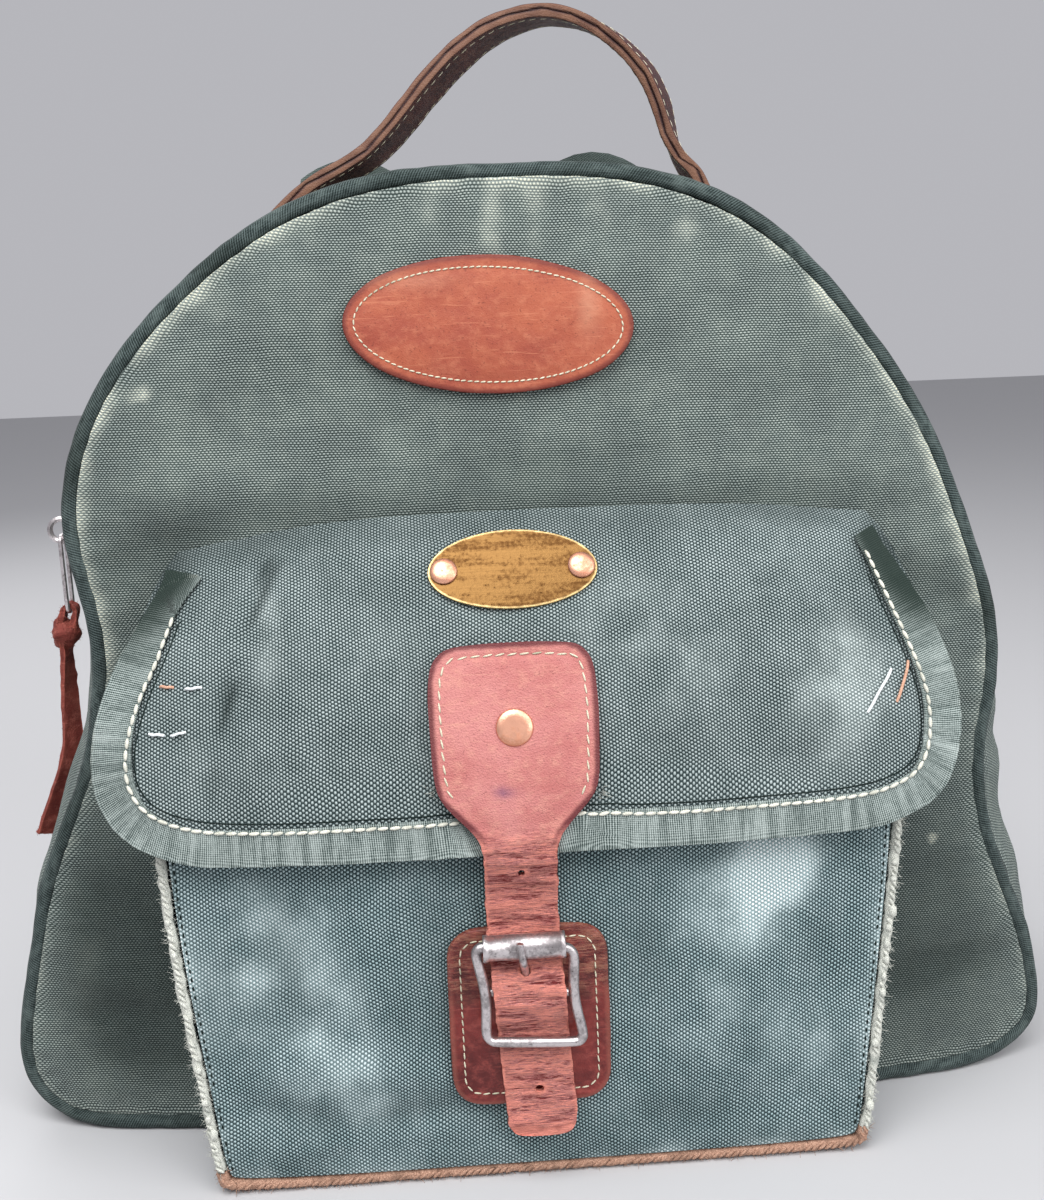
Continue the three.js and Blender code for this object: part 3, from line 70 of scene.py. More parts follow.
class Shade:  # one material and its nodes
    def __init__(self, name, **constants):
        self.material = bpy.data.materials.new(name)
        self.material.use_nodes = True
        self.tree = self.material.node_tree
        self.surface = self.tree.nodes["Principled BSDF"]
        for socket, number in constants.items():
            self.surface.inputs[socket.replace("_", " ")].default_value = number

    def feed(self, socket, given):
        if isinstance(given, Value):
            self.tree.links.new(given.socket, socket)
        else:
            socket.default_value = given

    def add(self, kind, settings, sockets, output=0):
        node = self.tree.nodes.new(kind)
        for key, setting in settings.items():
            setattr(node, key, setting)
        for key, given in sockets.items():
            self.feed(node.inputs[key], given)
        return Value(self, node.outputs[output])

    def place(self):
        return self.add("ShaderNodeTexCoord", {}, {}, "Object")

    def marked(self, name, output="Fac"):
        return self.add("ShaderNodeAttribute", {"attribute_name": name}, {}, output)

    def stretch(self, place, sizes, turn=0.0):  # place measured in these sizes, in millimetres
        scale = tuple(1 / (size * mm) for size in sizes)
        return self.add("ShaderNodeMapping", {}, {"Vector": place, "Scale": scale, "Rotation": (0, 0, turn)})

    def cloud(self, place, sizes, detail=3.0, rough=0.55, twist=0.0, turn=0.0):
        sockets = {"Vector": self.stretch(place, sizes, turn), "Scale": 1.0, "Detail": detail,
                   "Roughness": rough, "Distortion": twist}
        return self.add("ShaderNodeTexNoise", {}, sockets)

    def cells(self, place, sizes):
        sockets = {"Vector": self.stretch(place, sizes), "Scale": 1.0}
        return self.add("ShaderNodeTexVoronoi", {}, sockets, "Distance")

    def band(self, value, low, high):  # 0 below low, 1 above high
        sockets = {"Value": value, "From Min": low, "From Max": high}
        return self.add("ShaderNodeMapRange", {"interpolation_type": "SMOOTHSTEP"}, sockets)

    def mix(self, share, first, second):
        settings = {"data_type": "RGBA", "blend_type": "MIX", "clamp_factor": True}
        return self.add("ShaderNodeMix", settings, {0: share, 6: first, 7: second}, 2)

    def parts(self, place):
        return [self.add("ShaderNodeSeparateXYZ", {}, {0: place}, axis) for axis in "XYZ"]

    def wave(self, value):
        return self.add("ShaderNodeMath", {"operation": "SINE"}, {0: value})

    def size(self, value):
        return self.add("ShaderNodeMath", {"operation": "ABSOLUTE"}, {0: value})

    def bump(self, height, depth, strength=1.0, under=None):
        sockets = {"Height": height, "Distance": depth * mm, "Strength": strength}
        if under:
            sockets["Normal"] = under
        return self.add("ShaderNodeBump", {}, sockets)

    def finish(self, colour, rough, normal, coat=0.0):
        given = {"Base Color": colour, "Roughness": rough, "Normal": normal, "Coat Weight": coat}
        for socket, value in given.items():
            self.feed(self.surface.inputs[socket], value)
        return self


def tint(red, green, blue):  # a colour as the screen shows it
    return tuple((part / 255) ** 2.2 for part in (red, green, blue)) + (1.0,)


# Canvas: pale crowns in offset columns over dark gaps, with slubs, worn patches, dirt and painted shade
def clothShade(name, look):
    shade = Shade(name, Sheen_Weight=0.05, Sheen_Roughness=0.6, Specular_IOR_Level=0.12)
    mix, band, cloud, bump = shade.mix, shade.band, shade.cloud, shade.bump
    place = shade.marked("cloth", "Vector")
    column, row = look["column"], look["row"]
    sizes = (row, column, 1) if look["turned"] else (column, row, 1)
    drift = cloud(place, (9, 9, 9), 1.0)
    drift = drift + cloud(place, (48, 40, 40), 1.0) * 3
    first, second, _ = shade.parts(shade.stretch(place, sizes))
    across, along = (second, first) if look["turned"] else (first, second)
    acrossWave = shade.wave((across + drift * 1.1) * math.pi)
    alongWave = shade.wave((along + drift * 0.9) * math.pi)
    crown = shade.size(acrossWave) * look["ribbed"] + acrossWave * alongWave * (1 - look["ribbed"])
    longSlub = (30, column * 1.05, 9) if look["turned"] else (column * 1.05, 30, 9)
    slub = cloud(place, longSlub, 1.0)
    speck = cloud(place, (column, row * 1.6, 9), 1.0, 0.5)
    broad = cloud(place, (26, 30, 24), 5.0, 0.66)
    small = cloud(place, (5, 6, 6), 3.0, 0.6)
    wear = shade.marked("wear") * (0.38 + broad * 0.6 + small * 0.55)
    paleness = band(broad * 0.7 + small * 0.5, 0.46, 0.8)
    crownColour = mix(paleness, look["crown"], look["crownPale"])
    crownColour = mix(band(wear, 0.05, 0.95), crownColour, look["worn"])
    lit = band(crown * (0.55 + slub * 0.5 + speck * 0.4), look["crownFrom"], look["crownFull"])
    groundColour = mix(band(broad, 0.3, 0.7), look["ground"], look["groundPale"])
    groundColour = mix(band(wear, 0.05, 0.8) * 0.8, groundColour, look["crown"])
    colour = mix(lit, groundColour, crownColour)
    # Darkened where marked: real dirt, and painted shade in folds, at corners and under the flap
    colour = mix(shade.marked("grime") * (0.6 + small * 0.4), colour, look["darkTone"])
    normal = bump(crown * (0.7 + slub * 0.6), 0.42, 0.9, bump(small, 0.7, 0.3))
    return shade.finish(colour, 0.92 - lit * 0.1, normal)


# Cord covered with ribbed twill, and narrow tape with fine cross ribs
def ribShade(name, look):
    shade = Shade(name, Sheen_Weight=0.05, Specular_IOR_Level=0.12)
    mix, band, cloud, bump = shade.mix, shade.band, shade.cloud, shade.bump
    place = shade.marked("cloth", "Vector")
    run, turn, _ = shade.parts(place)
    broad = cloud(shade.place(), (16, 16, 16), 4.0, 0.6)
    fine = cloud(shade.place(), (1.1, 1.1, 1.1), 1.0)
    rib = shade.wave(run * (2 * math.pi / (look["rib"] * mm)) + turn * (look["slant"] / mm) + fine * 1.4)
    cross = shade.wave(turn * (2 * math.pi / (look["rib"] * 0.9 * mm)) + fine)
    gather = cloud(place, look["gather"], 2.0, 0.6)
    height = 0.5 + rib * 0.36 + cross * look["cross"]
    wear = shade.marked("wear")
    worn = band(wear * (0.5 + broad), 0.25, 0.75)
    colour = mix(band(height + fine * 0.5 - 0.25, 0.15, 0.9), look["ground"], look["crown"])
    colour = mix(band(broad * 0.5 + gather * 0.5, 0.45, 0.7) * 0.5, colour, look["pale"])
    colour = mix((1 - band(gather, 0.3, 0.5)) * 0.45, colour, look["ground"])
    colour = mix(worn, colour, look["worn"])
    # Darkened where marked: dirt, and painted shade at the binding's corners
    colour = mix(shade.marked("grime") * (1.35 - height * 0.6), colour, look["darkTone"])
    normal = bump(height, look["depth"], 0.8, bump(gather, 0.9, 0.7))
    return shade.finish(colour, 0.92, normal)


# Leather: grain, pores, dry cracks across a strap, scuffs and a dark burnished rim
def leatherShade(name, look):
    shade = Shade(name, Specular_IOR_Level=look.get("shine", 0.22), Coat_Roughness=0.2)
    mix, band, cloud, bump = shade.mix, shade.band, shade.cloud, shade.bump
    place = shade.place()
    broad = cloud(place, (21, 21, 17), 4.0, 0.62)
    mottle = cloud(place, (4.2, 4.2, 3.4), 4.0, 0.65)
    grain = shade.cells(place, (0.62, 0.62, 0.55))
    pores = band(cloud(place, (0.8, 0.8, 0.7), 2.0), 0.6, 0.72)
    scuffs = band(cloud(place, (16, 16, 0.9), 2.0, 0.5, 0.6), 0.64, 0.72)
    rim = shade.marked("rim")
    burnt = 1 - band(rim + mottle * 0.6 - 0.3, look["rimFrom"], look["rimTo"])
    cracks = shade.marked("cracks")
    fibre = cloud(place, (15, 8, 2.8), 3.0, 0.6, 0.8)
    fine = cloud(place, (4.8, 4, 0.46), 4.0, 0.7, 0.9)
    crest = fibre * 0.45 + fine * 0.7
    split = (1 - band(crest, 0.47, 0.54)) * cracks
    raised = band(crest, 0.55, 0.63) * cracks
    colour = mix(band(broad, 0.3, 0.72), look["dark"], look["base"])
    colour = mix(band(mottle, 0.42, 0.8) * 0.55, colour, look["light"])
    colour = mix(pores * look["pores"], colour, look["pore"])
    colour = mix(scuffs * look["scuffs"], colour, look["light"])
    colour = mix(raised * 0.85, colour, look["raw"])
    colour = mix(split * 0.92, colour, look["crack"])
    colour = mix(burnt * look["burn"] * (1 - cracks), colour, look["rim"])
    colour = mix(shade.marked("wear"), colour, look["raw"])
    colour = mix(shade.marked("grime"), colour, look["stain"])
    rough = look["rough"] + mottle * 0.22 + split * 0.2 - 0.1
    normal = bump(mottle, 0.5, 0.35)
    normal = bump(grain, 0.26, look["grain"], normal)
    normal = bump(crest * cracks, 1.5, 1.0, normal)
    return shade.finish(colour, rough, normal, coat=look.get("coat", 0.0))


# Worn plate on the buckle and zip parts, brushed brass, copper
def metalShade(name, look):
    shade = Shade(name, Metallic=1.0)
    mix, band, cloud, bump = shade.mix, shade.band, shade.cloud, shade.bump
    place = shade.place()
    broad = cloud(place, look.get("streak", (9, 9, 9)), 3.0, 0.6)
    spots = cloud(place, (1.3, 1.3, 1.3), 3.0, 0.65)
    brush = cloud(place, look.get("brush", (2.2, 2.2, 2.2)), 2.0, 0.5)
    scratch = band(cloud(place, (9, 9, 0.35), 2.0, 0.5, 0.3, 0.5), 0.66, 0.7)
    dull = band(broad * 0.6 + spots * 0.45, 0.46, 0.66)
    colour = mix(dull, look["bright"], look["dull"])
    colour = mix(scratch * look["scratches"], colour, look["bright"])
    pits = band(spots, 0.64, 0.76)
    colour = mix(pits * look["pits"], colour, look["dark"])
    if "rim" in look:
        rim = 1 - band(shade.marked("rim"), look["rimFrom"], look["rimTo"])
        colour = mix(rim * look["rimShare"], colour, look["rim"])
    rough = look["rough"] + dull * 0.18 + brush * 0.12 + pits * 0.2
    normal = bump(brush, look["grooves"], 0.5, bump(spots, 0.12, 0.5))
    return shade.finish(colour, rough, normal)


def threadShade(name, base, light, darkTone):
    shade = Shade(name, Sheen_Weight=0.05, Specular_IOR_Level=0.15)
    mix, band, cloud, bump = shade.mix, shade.band, shade.cloud, shade.bump
    place = shade.place()
    broad = cloud(place, (7, 7, 7), 3.0)
    fine = cloud(place, (0.35, 0.35, 0.35), 2.0)
    colour = mix(band(fine, 0.35, 0.7), base, light)
    colour = mix(band(broad, 0.5, 0.75) * 0.6, colour, darkTone)
    return shade.finish(colour, 0.85, bump(fine, 0.12, 0.7))


# Mesh helpers
def link(piece):
    bpy.context.scene.collection.objects.link(piece)


def makeObject(name, mesh, shade, body="bag", slot=None, replaces=()):
    piece = bpy.data.objects.new(name, mesh)
    link(piece)
    mesh.materials.clear()
    mesh.materials.append(shade.material)
    mesh.shade_smooth()
    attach(piece, body)
    if replaces:
        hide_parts(*replaces)
    return piece


def fromBmesh(name, bm, shade, **where):
    mesh = bpy.data.meshes.new(name)
    bm.to_mesh(mesh)
    bm.free()
    return makeObject(name, mesh, shade, **where)


def copyNode(node):
    bm = bmesh.new()
    bm.from_mesh(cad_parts[node].data)
    bmesh.ops.remove_doubles(bm, verts=bm.verts, dist=0.02 * mm)
    bmesh.ops.join_triangles(bm, faces=bm.faces, angle_face_threshold=math.radians(35),
                             angle_shape_threshold=math.radians(50))
    return bm


def cornersOf(node):  # lowest and highest corner of a node's box, in millimetres
    return [Vector(corner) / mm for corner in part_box(node)]


def sharpEdges(bm):
    least = math.radians(50)
    return [edge for edge in bm.edges if len(edge.link_faces) == 2 and edge.calc_face_angle() > least]


def treeOf(spots):  # finds the nearest of these places
    tree = KDTree(len(spots))
    for index, spot in enumerate(spots):
        tree.insert(spot, index)
    tree.balance()
    return tree


def edgeTree(edges):  # points along edges, to measure how far a place is from a rim
    spots = []
    for edge in edges:
        start, end = (corner.co for corner in edge.verts)
        steps = max(int((end - start).length / (1 * mm)), 1)
        spots += [start.lerp(end, step / steps) for step in range(steps + 1)]
    return treeOf(spots)


def settle(piece):  # applies a piece's modifiers
    graph = bpy.context.evaluated_depsgraph_get()
    mesh = bpy.data.meshes.new_from_object(piece.evaluated_get(graph))
    piece.modifiers.clear()
    piece.data = mesh


def refine(piece, levels):
    smooth = piece.modifiers.new("rounded", "SUBSURF")
    smooth.levels = levels
    smooth.render_levels = levels
    settle(piece)


def places(piece, kind="co"):
    flat = np.empty(len(piece.data.vertices) * 3)
    piece.data.vertices.foreach_get(kind, flat)
    return flat.reshape(-1, 3)


def directions(piece):
    return places(piece, "normal")


def moveTo(piece, spots):
    piece.data.vertices.foreach_set("co", spots.ravel())
    piece.data.update()


def push(piece, amounts):  # moves each point along its own normal, in millimetres
    moveTo(piece, places(piece) + directions(piece) * (np.asarray(amounts) * mm)[:, None])


def shares(values, top=1.0):  # kept between 0 and top
    return np.clip(values, 0, top)


def mark(piece, name, values):
    values = np.asarray(values, dtype=float)
    isVector = values.ndim == 2
    marks = piece.data.attributes.new(name, "FLOAT_VECTOR" if isVector else "FLOAT", "POINT")
    marks.data.foreach_set("vector" if isVector else "value", values.ravel())


def lay(piece, across, up):  # where the weave lies, in two directions
    mark(piece, "cloth", np.column_stack([across, up, np.zeros(len(across))]))


def worn(piece, values, top=1.0):
    mark(piece, "wear", shares(values, top))


# Darkens a piece where marked: real dirt on some pieces, painted shade in folds, at corners and under the
# flap on others
def paintDirtAndShade(piece, values, top=1.0):
    mark(piece, "grime", shares(values, top))


def clouds(spots, size, seed):
    step = 1 / (size * mm)
    shift = Vector((seed * 7.3, seed * 3.1, seed * 5.7))
    return np.array([noise.noise(Vector(spot) * step + shift) for spot in spots])


def distances(spots, tree):
    return np.array([tree.find(Vector(spot))[2] for spot in spots])


def markRim(piece, tree):
    mark(piece, "rim", distances(places(piece), tree) / mm)


def tuckRim(piece, line, reach, rim):  # the cloth's rim runs under its piping
    tree = treeOf(line)
    moved = places(piece)
    for i, spot in enumerate(moved):
        if rim[i] < 3:
            near = tree.find(Vector(spot))[0]
            way = np.array(near) - spot
            way[1] = 0
            length = np.linalg.norm(way)
            moved[i] = spot + way / max(length, 1e-6) * reach * mm * (1 - rim[i] / 3)
    moveTo(piece, moved)


def rimOf(piece):
    return np.array([entry.value for entry in piece.data.attributes["rim"].data])


def spotsOf(rows, spots):  # soft round marks: middle x and z, width, height, strength
    total = np.zeros(len(spots))
    for x, z, wide, tall, strength in rows:
        across = (spots[:, 0] / mm - x) / wide
        up = (spots[:, 2] / mm - z) / tall
        total += strength * np.exp(-(across ** 2 + up ** 2))
    return total


def foldsOf(rows, spots):  # folds between two places (x, z): width and depth in millimetres
    total = np.zeros(len(spots))
    flat = spots[:, [0, 2]] / mm
    for start, end, wide, deep in rows:
        start, end = np.array(start, float), np.array(end, float)
        length = np.linalg.norm(end - start)
        along = (end - start) / length
        share = (flat - start) @ along / length
        aside = (flat - start) @ np.array([-along[1], along[0]])
        total += deep * np.exp(-(aside / wide) ** 2) * np.sin(np.pi * shares(share)) ** 0.7
    return total


def dress(node, shade, levels, slot, bevel=0.45, body="bag"):
    bm = copyNode(node)
    edges = sharpEdges(bm)
    tree = edgeTree(edges)
    bmesh.ops.bevel(bm, geom=edges, offset=bevel * mm, offset_type="OFFSET", segments=2, profile=0.5,
                    affect="EDGES", material=-1, clamp_overlap=True)
    piece = fromBmesh(node + ".dressed", bm, shade, body=body, slot=slot, replaces=(node,))
    refine(piece, levels)
    markRim(piece, tree)
    return piece


def afterGap(ring, gaps):  # a ring that starts after its widest gap
    start = gaps.index(max(gaps)) + 1
    return ring[start:] + ring[:start]


# Middles of a corded node's sections, in order round a centre
def cordPath(node, centre, count=6):
    bm = copyNode(node)
    spots = [vert.co.copy() for vert in bm.verts]
    bm.free()
    angle = lambda spot: math.atan2(spot.z - centre[1] * mm, spot.x - centre[0] * mm)
    spots.sort(key=angle)
    turns = [angle(spot) for spot in spots]
    gaps = [(turns[(i + 1) % len(turns)] - turns[i]) % (2 * math.pi) for i in range(len(turns))]
    spots = afterGap(spots, gaps)
    groups = [spots[i:i + count] for i in range(0, len(spots) - count + 1, count)]
    return [sum(group, Vector()) / count for group in groups]


def smoothPath(knots, closed, step=2.0):  # points about a step apart on a smooth line through knots
    count = len(knots)
    at = (lambda i: knots[i % count]) if closed else (lambda i: knots[min(max(i, 0), count - 1)])
    path = []
    for i in range(count if closed else count - 1):
        before, start, end, after = at(i - 1), at(i), at(i + 1), at(i + 2)
        pieces = max(round((end - start).length / (step * mm)), 1)
        for piece in range(pieces):
            t = piece / pieces
            path.append(0.5 * (2 * start + (end - before) * t
                               + (2 * before - 5 * start + 4 * end - after) * t * t
                               + (3 * start - before - 3 * end + after) * t * t * t))
    if not closed:
        path.append(knots[-1].copy())
    return path


def runsOf(path):
    runs = [0.0]
    for before, after in zip(path, path[1:]):
        runs.append(runs[-1] + (after - before).length)
    return runs


def tangentAt(path, index, closed=False):
    last = len(path) - 1
    low = (index - 1) % len(path) if closed else max(index - 1, 0)
    high = (index + 1) % len(path) if closed else min(index + 1, last)
    return (path[high] - path[low]).normalized()


def alongPath(spots, path, closed=False):  # how far along a path each place is, in metres
    tree, runs = treeOf(path), runsOf(path)
    values = []
    for spot in spots:
        spot = Vector(spot)
        near, index, _ = tree.find(spot)
        values.append(runs[index] + (spot - near).dot(tangentAt(path, index, closed)))
    return np.array(values)


def tube(name, path, radius, closed, shade, sides=3, **where):
    curve = bpy.data.curves.new(name, "CURVE")
    curve.dimensions = "3D"
    curve.bevel_depth = radius * mm
    curve.bevel_resolution = sides
    curve.use_fill_caps = not closed
    spline = curve.splines.new("POLY")
    spline.points.add(len(path) - 1)
    for point, spot in zip(spline.points, path):
        point.co = (*spot, 1.0)
    spline.use_cyclic_u = closed
    holder = bpy.data.objects.new(name + ".path", curve)
    link(holder)
    graph = bpy.context.evaluated_depsgraph_get()
    mesh = bpy.data.meshes.new_from_object(holder.evaluated_get(graph))
    bpy.data.objects.remove(holder)
    piece = makeObject(name, mesh, shade, **where)
    spots = places(piece)
    tree, runs = treeOf(path), runsOf(path)
    cloth = []
    for spot in spots:
        near, index, _ = tree.find(Vector(spot))
        tangent = tangentAt(path, index, closed)
        out = Vector(spot) - near
        side = Vector((0, 1, 0)).cross(tangent)
        cloth.append((runs[index] + out.dot(tangent), radius * mm * math.atan2(out.y, out.dot(side)), 0))
    mark(piece, "cloth", cloth)
    return piece


def surfaceOf(piece):
    mesh = piece.data
    return BVHTree.FromPolygons([vert.co for vert in mesh.vertices],
                                [tuple(face.vertices) for face in mesh.polygons])


def onFront(tree, x, z):  # place and normal met from the front, at x and z in millimetres
    spot, normal, _, _ = tree.ray_cast(Vector((x * mm, -1, z * mm)), Vector((0, 1, 0)))
    return (spot, normal if normal.y < 0 else -normal) if spot else None


def insetPath(line, inset, tree, centre, skip=0):  # a line moved inwards and laid on a surface
    path = []
    for i in range(skip, len(line) - skip):
        along = tangentAt(line, i)
        side = Vector((along.z, 0, -along.x)).normalized()
        inwards = Vector((centre[0] * mm, 0, centre[1] * mm)) - line[i]
        if side.dot(inwards) < 0:
            side = -side
        spot = line[i] + side * inset * mm
        hit = onFront(tree, spot.x / mm, spot.z / mm)
        if hit:
            path.append(hit)
    return path


def turnTo(way):  # turns the z axis to this way
    return way.to_track_quat("Z", "Y").to_matrix().to_4x4()


def beadMatrix(spot, along, normal, sizes):
    side = normal.cross(along).normalized()
    up = along.cross(side).normalized()
    turn = Matrix((side, up, along)).transposed().to_4x4()
    return Matrix.Translation(spot) @ turn @ Matrix.Diagonal((*sizes, 1.0))


# A line of stitches over a path of (place, normal)
def stitchLine(name, path, shade, look, **where):
    bm = bmesh.new()
    spots = [spot for spot, _ in path]
    runs = runsOf(spots)
    at, index = look["pitch"] * mm / 2, 0
    while at < runs[-1]:
        while runs[index + 1] < at:
            index += 1
        share = (at - runs[index]) / max(runs[index + 1] - runs[index], 1e-9)
        spot = spots[index].lerp(spots[index + 1], share)
        normal = path[index][1]
        along = (spots[index + 1] - spots[index]).normalized()
        along = (along - normal * along.dot(normal)).normalized()
        slant = look.get("slant", 0) + random.uniform(-0.07, 0.07)
        along = (along + normal.cross(along) * slant).normalized()
        if random.random() > look.get("lost", 0):
            sizes = (look["thread"] * mm * 0.5, look["thread"] * mm * 0.42, look["stitch"] * mm * 0.5)
            lift = spot + normal * look["lift"] * mm
            bmesh.ops.create_uvsphere(bm, u_segments=6, v_segments=5, radius=1.0,
                                      matrix=beadMatrix(lift, along, normal, sizes))
        at += look["pitch"] * mm * random.uniform(0.95, 1.05)
    return fromBmesh(name, bm, shade, **where)


# Loose fibres that stand out of a worn edge
def fibres(name, roots, shade, look, **where):
    bm = bmesh.new()
    for spot, out, along in roots:
        lean = Vector([random.gauss(0, 1) for _ in range(3)]) * look["stray"]
        way = (out + along * random.uniform(-look["comb"], look["comb"]) + lean).normalized()
        length = look["length"] * mm * random.uniform(0.35, 1.0)
        middle = spot + way * length * 0.42
        bmesh.ops.create_cone(bm, cap_ends=True, segments=3, radius1=look["thick"] * mm / 2,
                              radius2=look["thick"] * mm / 6, depth=length,
                              matrix=Matrix.Translation(middle) @ turnTo(way))
    return fromBmesh(name, bm, shade, **where)


def lathe(name, profile, spot, axis, shade, steps=32, **where):  # profile of (radius, rise), in millimetres
    bm = bmesh.new()
    corners = [bm.verts.new((radius * mm, 0, rise * mm)) for radius, rise in profile]
    edges = [bm.edges.new(pair) for pair in zip(corners, corners[1:])]
    bmesh.ops.spin(bm, geom=corners + edges, cent=(0, 0, 0), axis=(0, 0, 1), angle=2 * math.pi,
                   steps=steps, use_merge=True)
    bmesh.ops.remove_doubles(bm, verts=bm.verts, dist=0.01 * mm)
    bmesh.ops.holes_fill(bm, edges=bm.edges, sides=0)
    bmesh.ops.recalc_face_normals(bm, faces=bm.faces)
    bmesh.ops.transform(bm, matrix=Matrix.Translation(spot) @ turnTo(axis), verts=bm.verts)
    return fromBmesh(name, bm, shade, **where)


print("helpers ready")


# Camera, light and floor
view = {"place": (-0.022, -0.529, 0.290), "pitch": 12.2, "yaw": 3.0, "roll": 2.2, "lens": 40.5}
lights = {
    "overhead": {"place": (-0.25, -0.75, 1.35), "aim": (0, -0.05, 0.18), "size": 1.1, "power": 27},
    "window": {"place": (0.95, -0.9, 0.75), "aim": (0, -0.05, 0.16), "size": 0.9, "power": 12},
    "back": {"place": (-0.6, 0.9, 1.0), "aim": (0, 0, 0.2), "size": 0.9, "power": 7},
}
sky = {"colour": (0.94, 0.94, 1.0, 1), "strength": 0.5}
paper = {"colour": (0.46, 0.46, 0.47, 1), "size": 4.0}


def makeStage():
    pitch, yaw, roll = (math.radians(view[key]) for key in ("pitch", "yaw", "roll"))
    ahead = Vector((math.sin(yaw) * math.cos(pitch), math.cos(yaw) * math.cos(pitch), -math.sin(pitch)))
    level = Vector((math.cos(yaw), -math.sin(yaw), 0))
    upright = level.cross(ahead)
    right = level * math.cos(roll) - upright * math.sin(roll)
    up = level * math.sin(roll) + upright * math.cos(roll)
    camera = bpy.data.objects.new("camera", bpy.data.cameras.new("camera"))
    camera.data.lens = view["lens"]
    camera.data.clip_start = 0.01
    turn = Matrix((right, up, -ahead)).transposed().to_4x4()
    camera.matrix_world = Matrix.Translation(view["place"]) @ turn
    link(camera)
    bpy.context.scene.camera = camera
    for name, row in lights.items():
        lamp = bpy.data.lights.new(name, "AREA")
        lamp.energy = row["power"]
        lamp.size = row["size"]
        holder = bpy.data.objects.new(name, lamp)
        holder.location = row["place"]
        aim = Vector(row["aim"]) - Vector(row["place"])
        holder.rotation_euler = aim.to_track_quat("-Z", "Y").to_euler()
        link(holder)
    bpy.context.scene.view_settings.view_transform = "Standard"
    world = bpy.data.worlds.new("studio")
    world.use_nodes = True
    background = world.node_tree.nodes["Background"]
    background.inputs["Color"].default_value = sky["colour"]
    background.inputs["Strength"].default_value = sky["strength"]
    bpy.context.scene.world = world
    floorShade = Shade("floor paper", Roughness=0.9, Base_Color=paper["colour"])
    bm = bmesh.new()
    bmesh.ops.create_grid(bm, x_segments=1, y_segments=1, size=paper["size"])
    mesh = bpy.data.meshes.new("floor")
    bm.to_mesh(mesh)
    bm.free()
    mesh.materials.append(floorShade.material)
    floor = bpy.data.objects.new("floor", mesh)
    link(floor)


makeStage()
print("stage ready")

# Cloths
bodyCloth = {
    "column": 0.8, "row": 0.64, "turned": True, "ribbed": 0.66, "ground": tint(42, 52, 51),
    "groundPale": tint(58, 70, 67), "crown": tint(142, 152, 148), "crownPale": tint(162, 171, 164),
    "worn": tint(222, 222, 198), "darkTone": tint(30, 40, 37), "crownFrom": 0.2, "crownFull": 0.8,
}
flapCloth = {
    "column": 1.02, "row": 0.7, "turned": False, "ribbed": 0.5, "ground": tint(36, 48, 49),
    "groundPale": tint(56, 67, 68), "crown": tint(152, 165, 164), "crownPale": tint(176, 188, 187),
    "worn": tint(226, 234, 230), "darkTone": tint(26, 36, 35), "crownFrom": 0.12, "crownFull": 0.64,
}
pocketCloth = dict(flapCloth, ground=tint(34, 50, 53), groundPale=tint(58, 74, 77),
                   crown=tint(150, 173, 175), crownPale=tint(180, 199, 201), worn=tint(238, 246, 246),
                   darkTone=tint(28, 42, 42))
strapCloth = dict(bodyCloth, crown=tint(104, 118, 114), crownPale=tint(122, 136, 130),
                  ground=tint(30, 40, 39))
pipingCord = {
    "radius": 2.85,
    "rib": 0.95, "slant": 3.3, "cross": 0.12, "depth": 0.22, "gather": (6, 3, 3),
    "ground": tint(34, 42, 41), "crown": tint(82, 93, 92), "pale": tint(98, 109, 106),
    "worn": tint(206, 200, 180), "darkTone": tint(30, 36, 32),
}
edgeTape = {
    "rib": 0.72, "slant": 0.6, "cross": 0.2, "depth": 0.2, "gather": (3.4, 30, 9),
    "ground": tint(56, 68, 66), "crown": tint(164, 175, 171), "pale": tint(180, 190, 186),
    "worn": tint(212, 216, 204), "darkTone": tint(40, 50, 46),
}
bodyShade = clothShade("body canvas", bodyCloth)
flapShade = clothShade("flap canvas", flapCloth)
pocketShade = clothShade("pocket canvas", pocketCloth)
strapShade = clothShade("strap web", strapCloth)
pipingShade = ribShade("piping twill", pipingCord)
tapeShade = ribShade("binding tape", edgeTape)
creamThread = threadShade("cream thread", tint(178, 172, 148), tint(222, 216, 194), tint(128, 130, 106))
paleThread = threadShade("pale thread", tint(188, 188, 174), tint(228, 226, 214), tint(138, 142, 130))
frayShade = threadShade("frayed cord", tint(166, 169, 161), tint(222, 222, 212), tint(104, 113, 108))
darkThread = threadShade("dark thread", tint(20, 30, 29), tint(40, 52, 50), tint(14, 20, 20))
tanFibre = threadShade("frayed hem", tint(138, 104, 88), tint(194, 156, 134), tint(100, 78, 66))

# Middles (x, z) that the edges run round
bodyMiddle, pocketMiddle, flapMiddle, tabMiddle = (0, 150), (0, 78), (0, 175), (-4, 145)
frontLine = smoothPath(cordPath("front_piping", bodyMiddle), True)
backLine = smoothPath(cordPath("back_piping", bodyMiddle), True)


def seamPuckers(piece, line, reach, deep, seed):  # small pulls where a seam gathers the cloth
    spots = places(piece)
    run = alongPath(spots, line, True)
    away = distances(spots, treeOf(line)) / mm
    wobble = clouds(spots, 30, seed) * 4
    return deep * np.sin(run / mm * (2 * math.pi / 11) + wobble) * np.exp(-np.maximum(away - 3, 0) / reach)


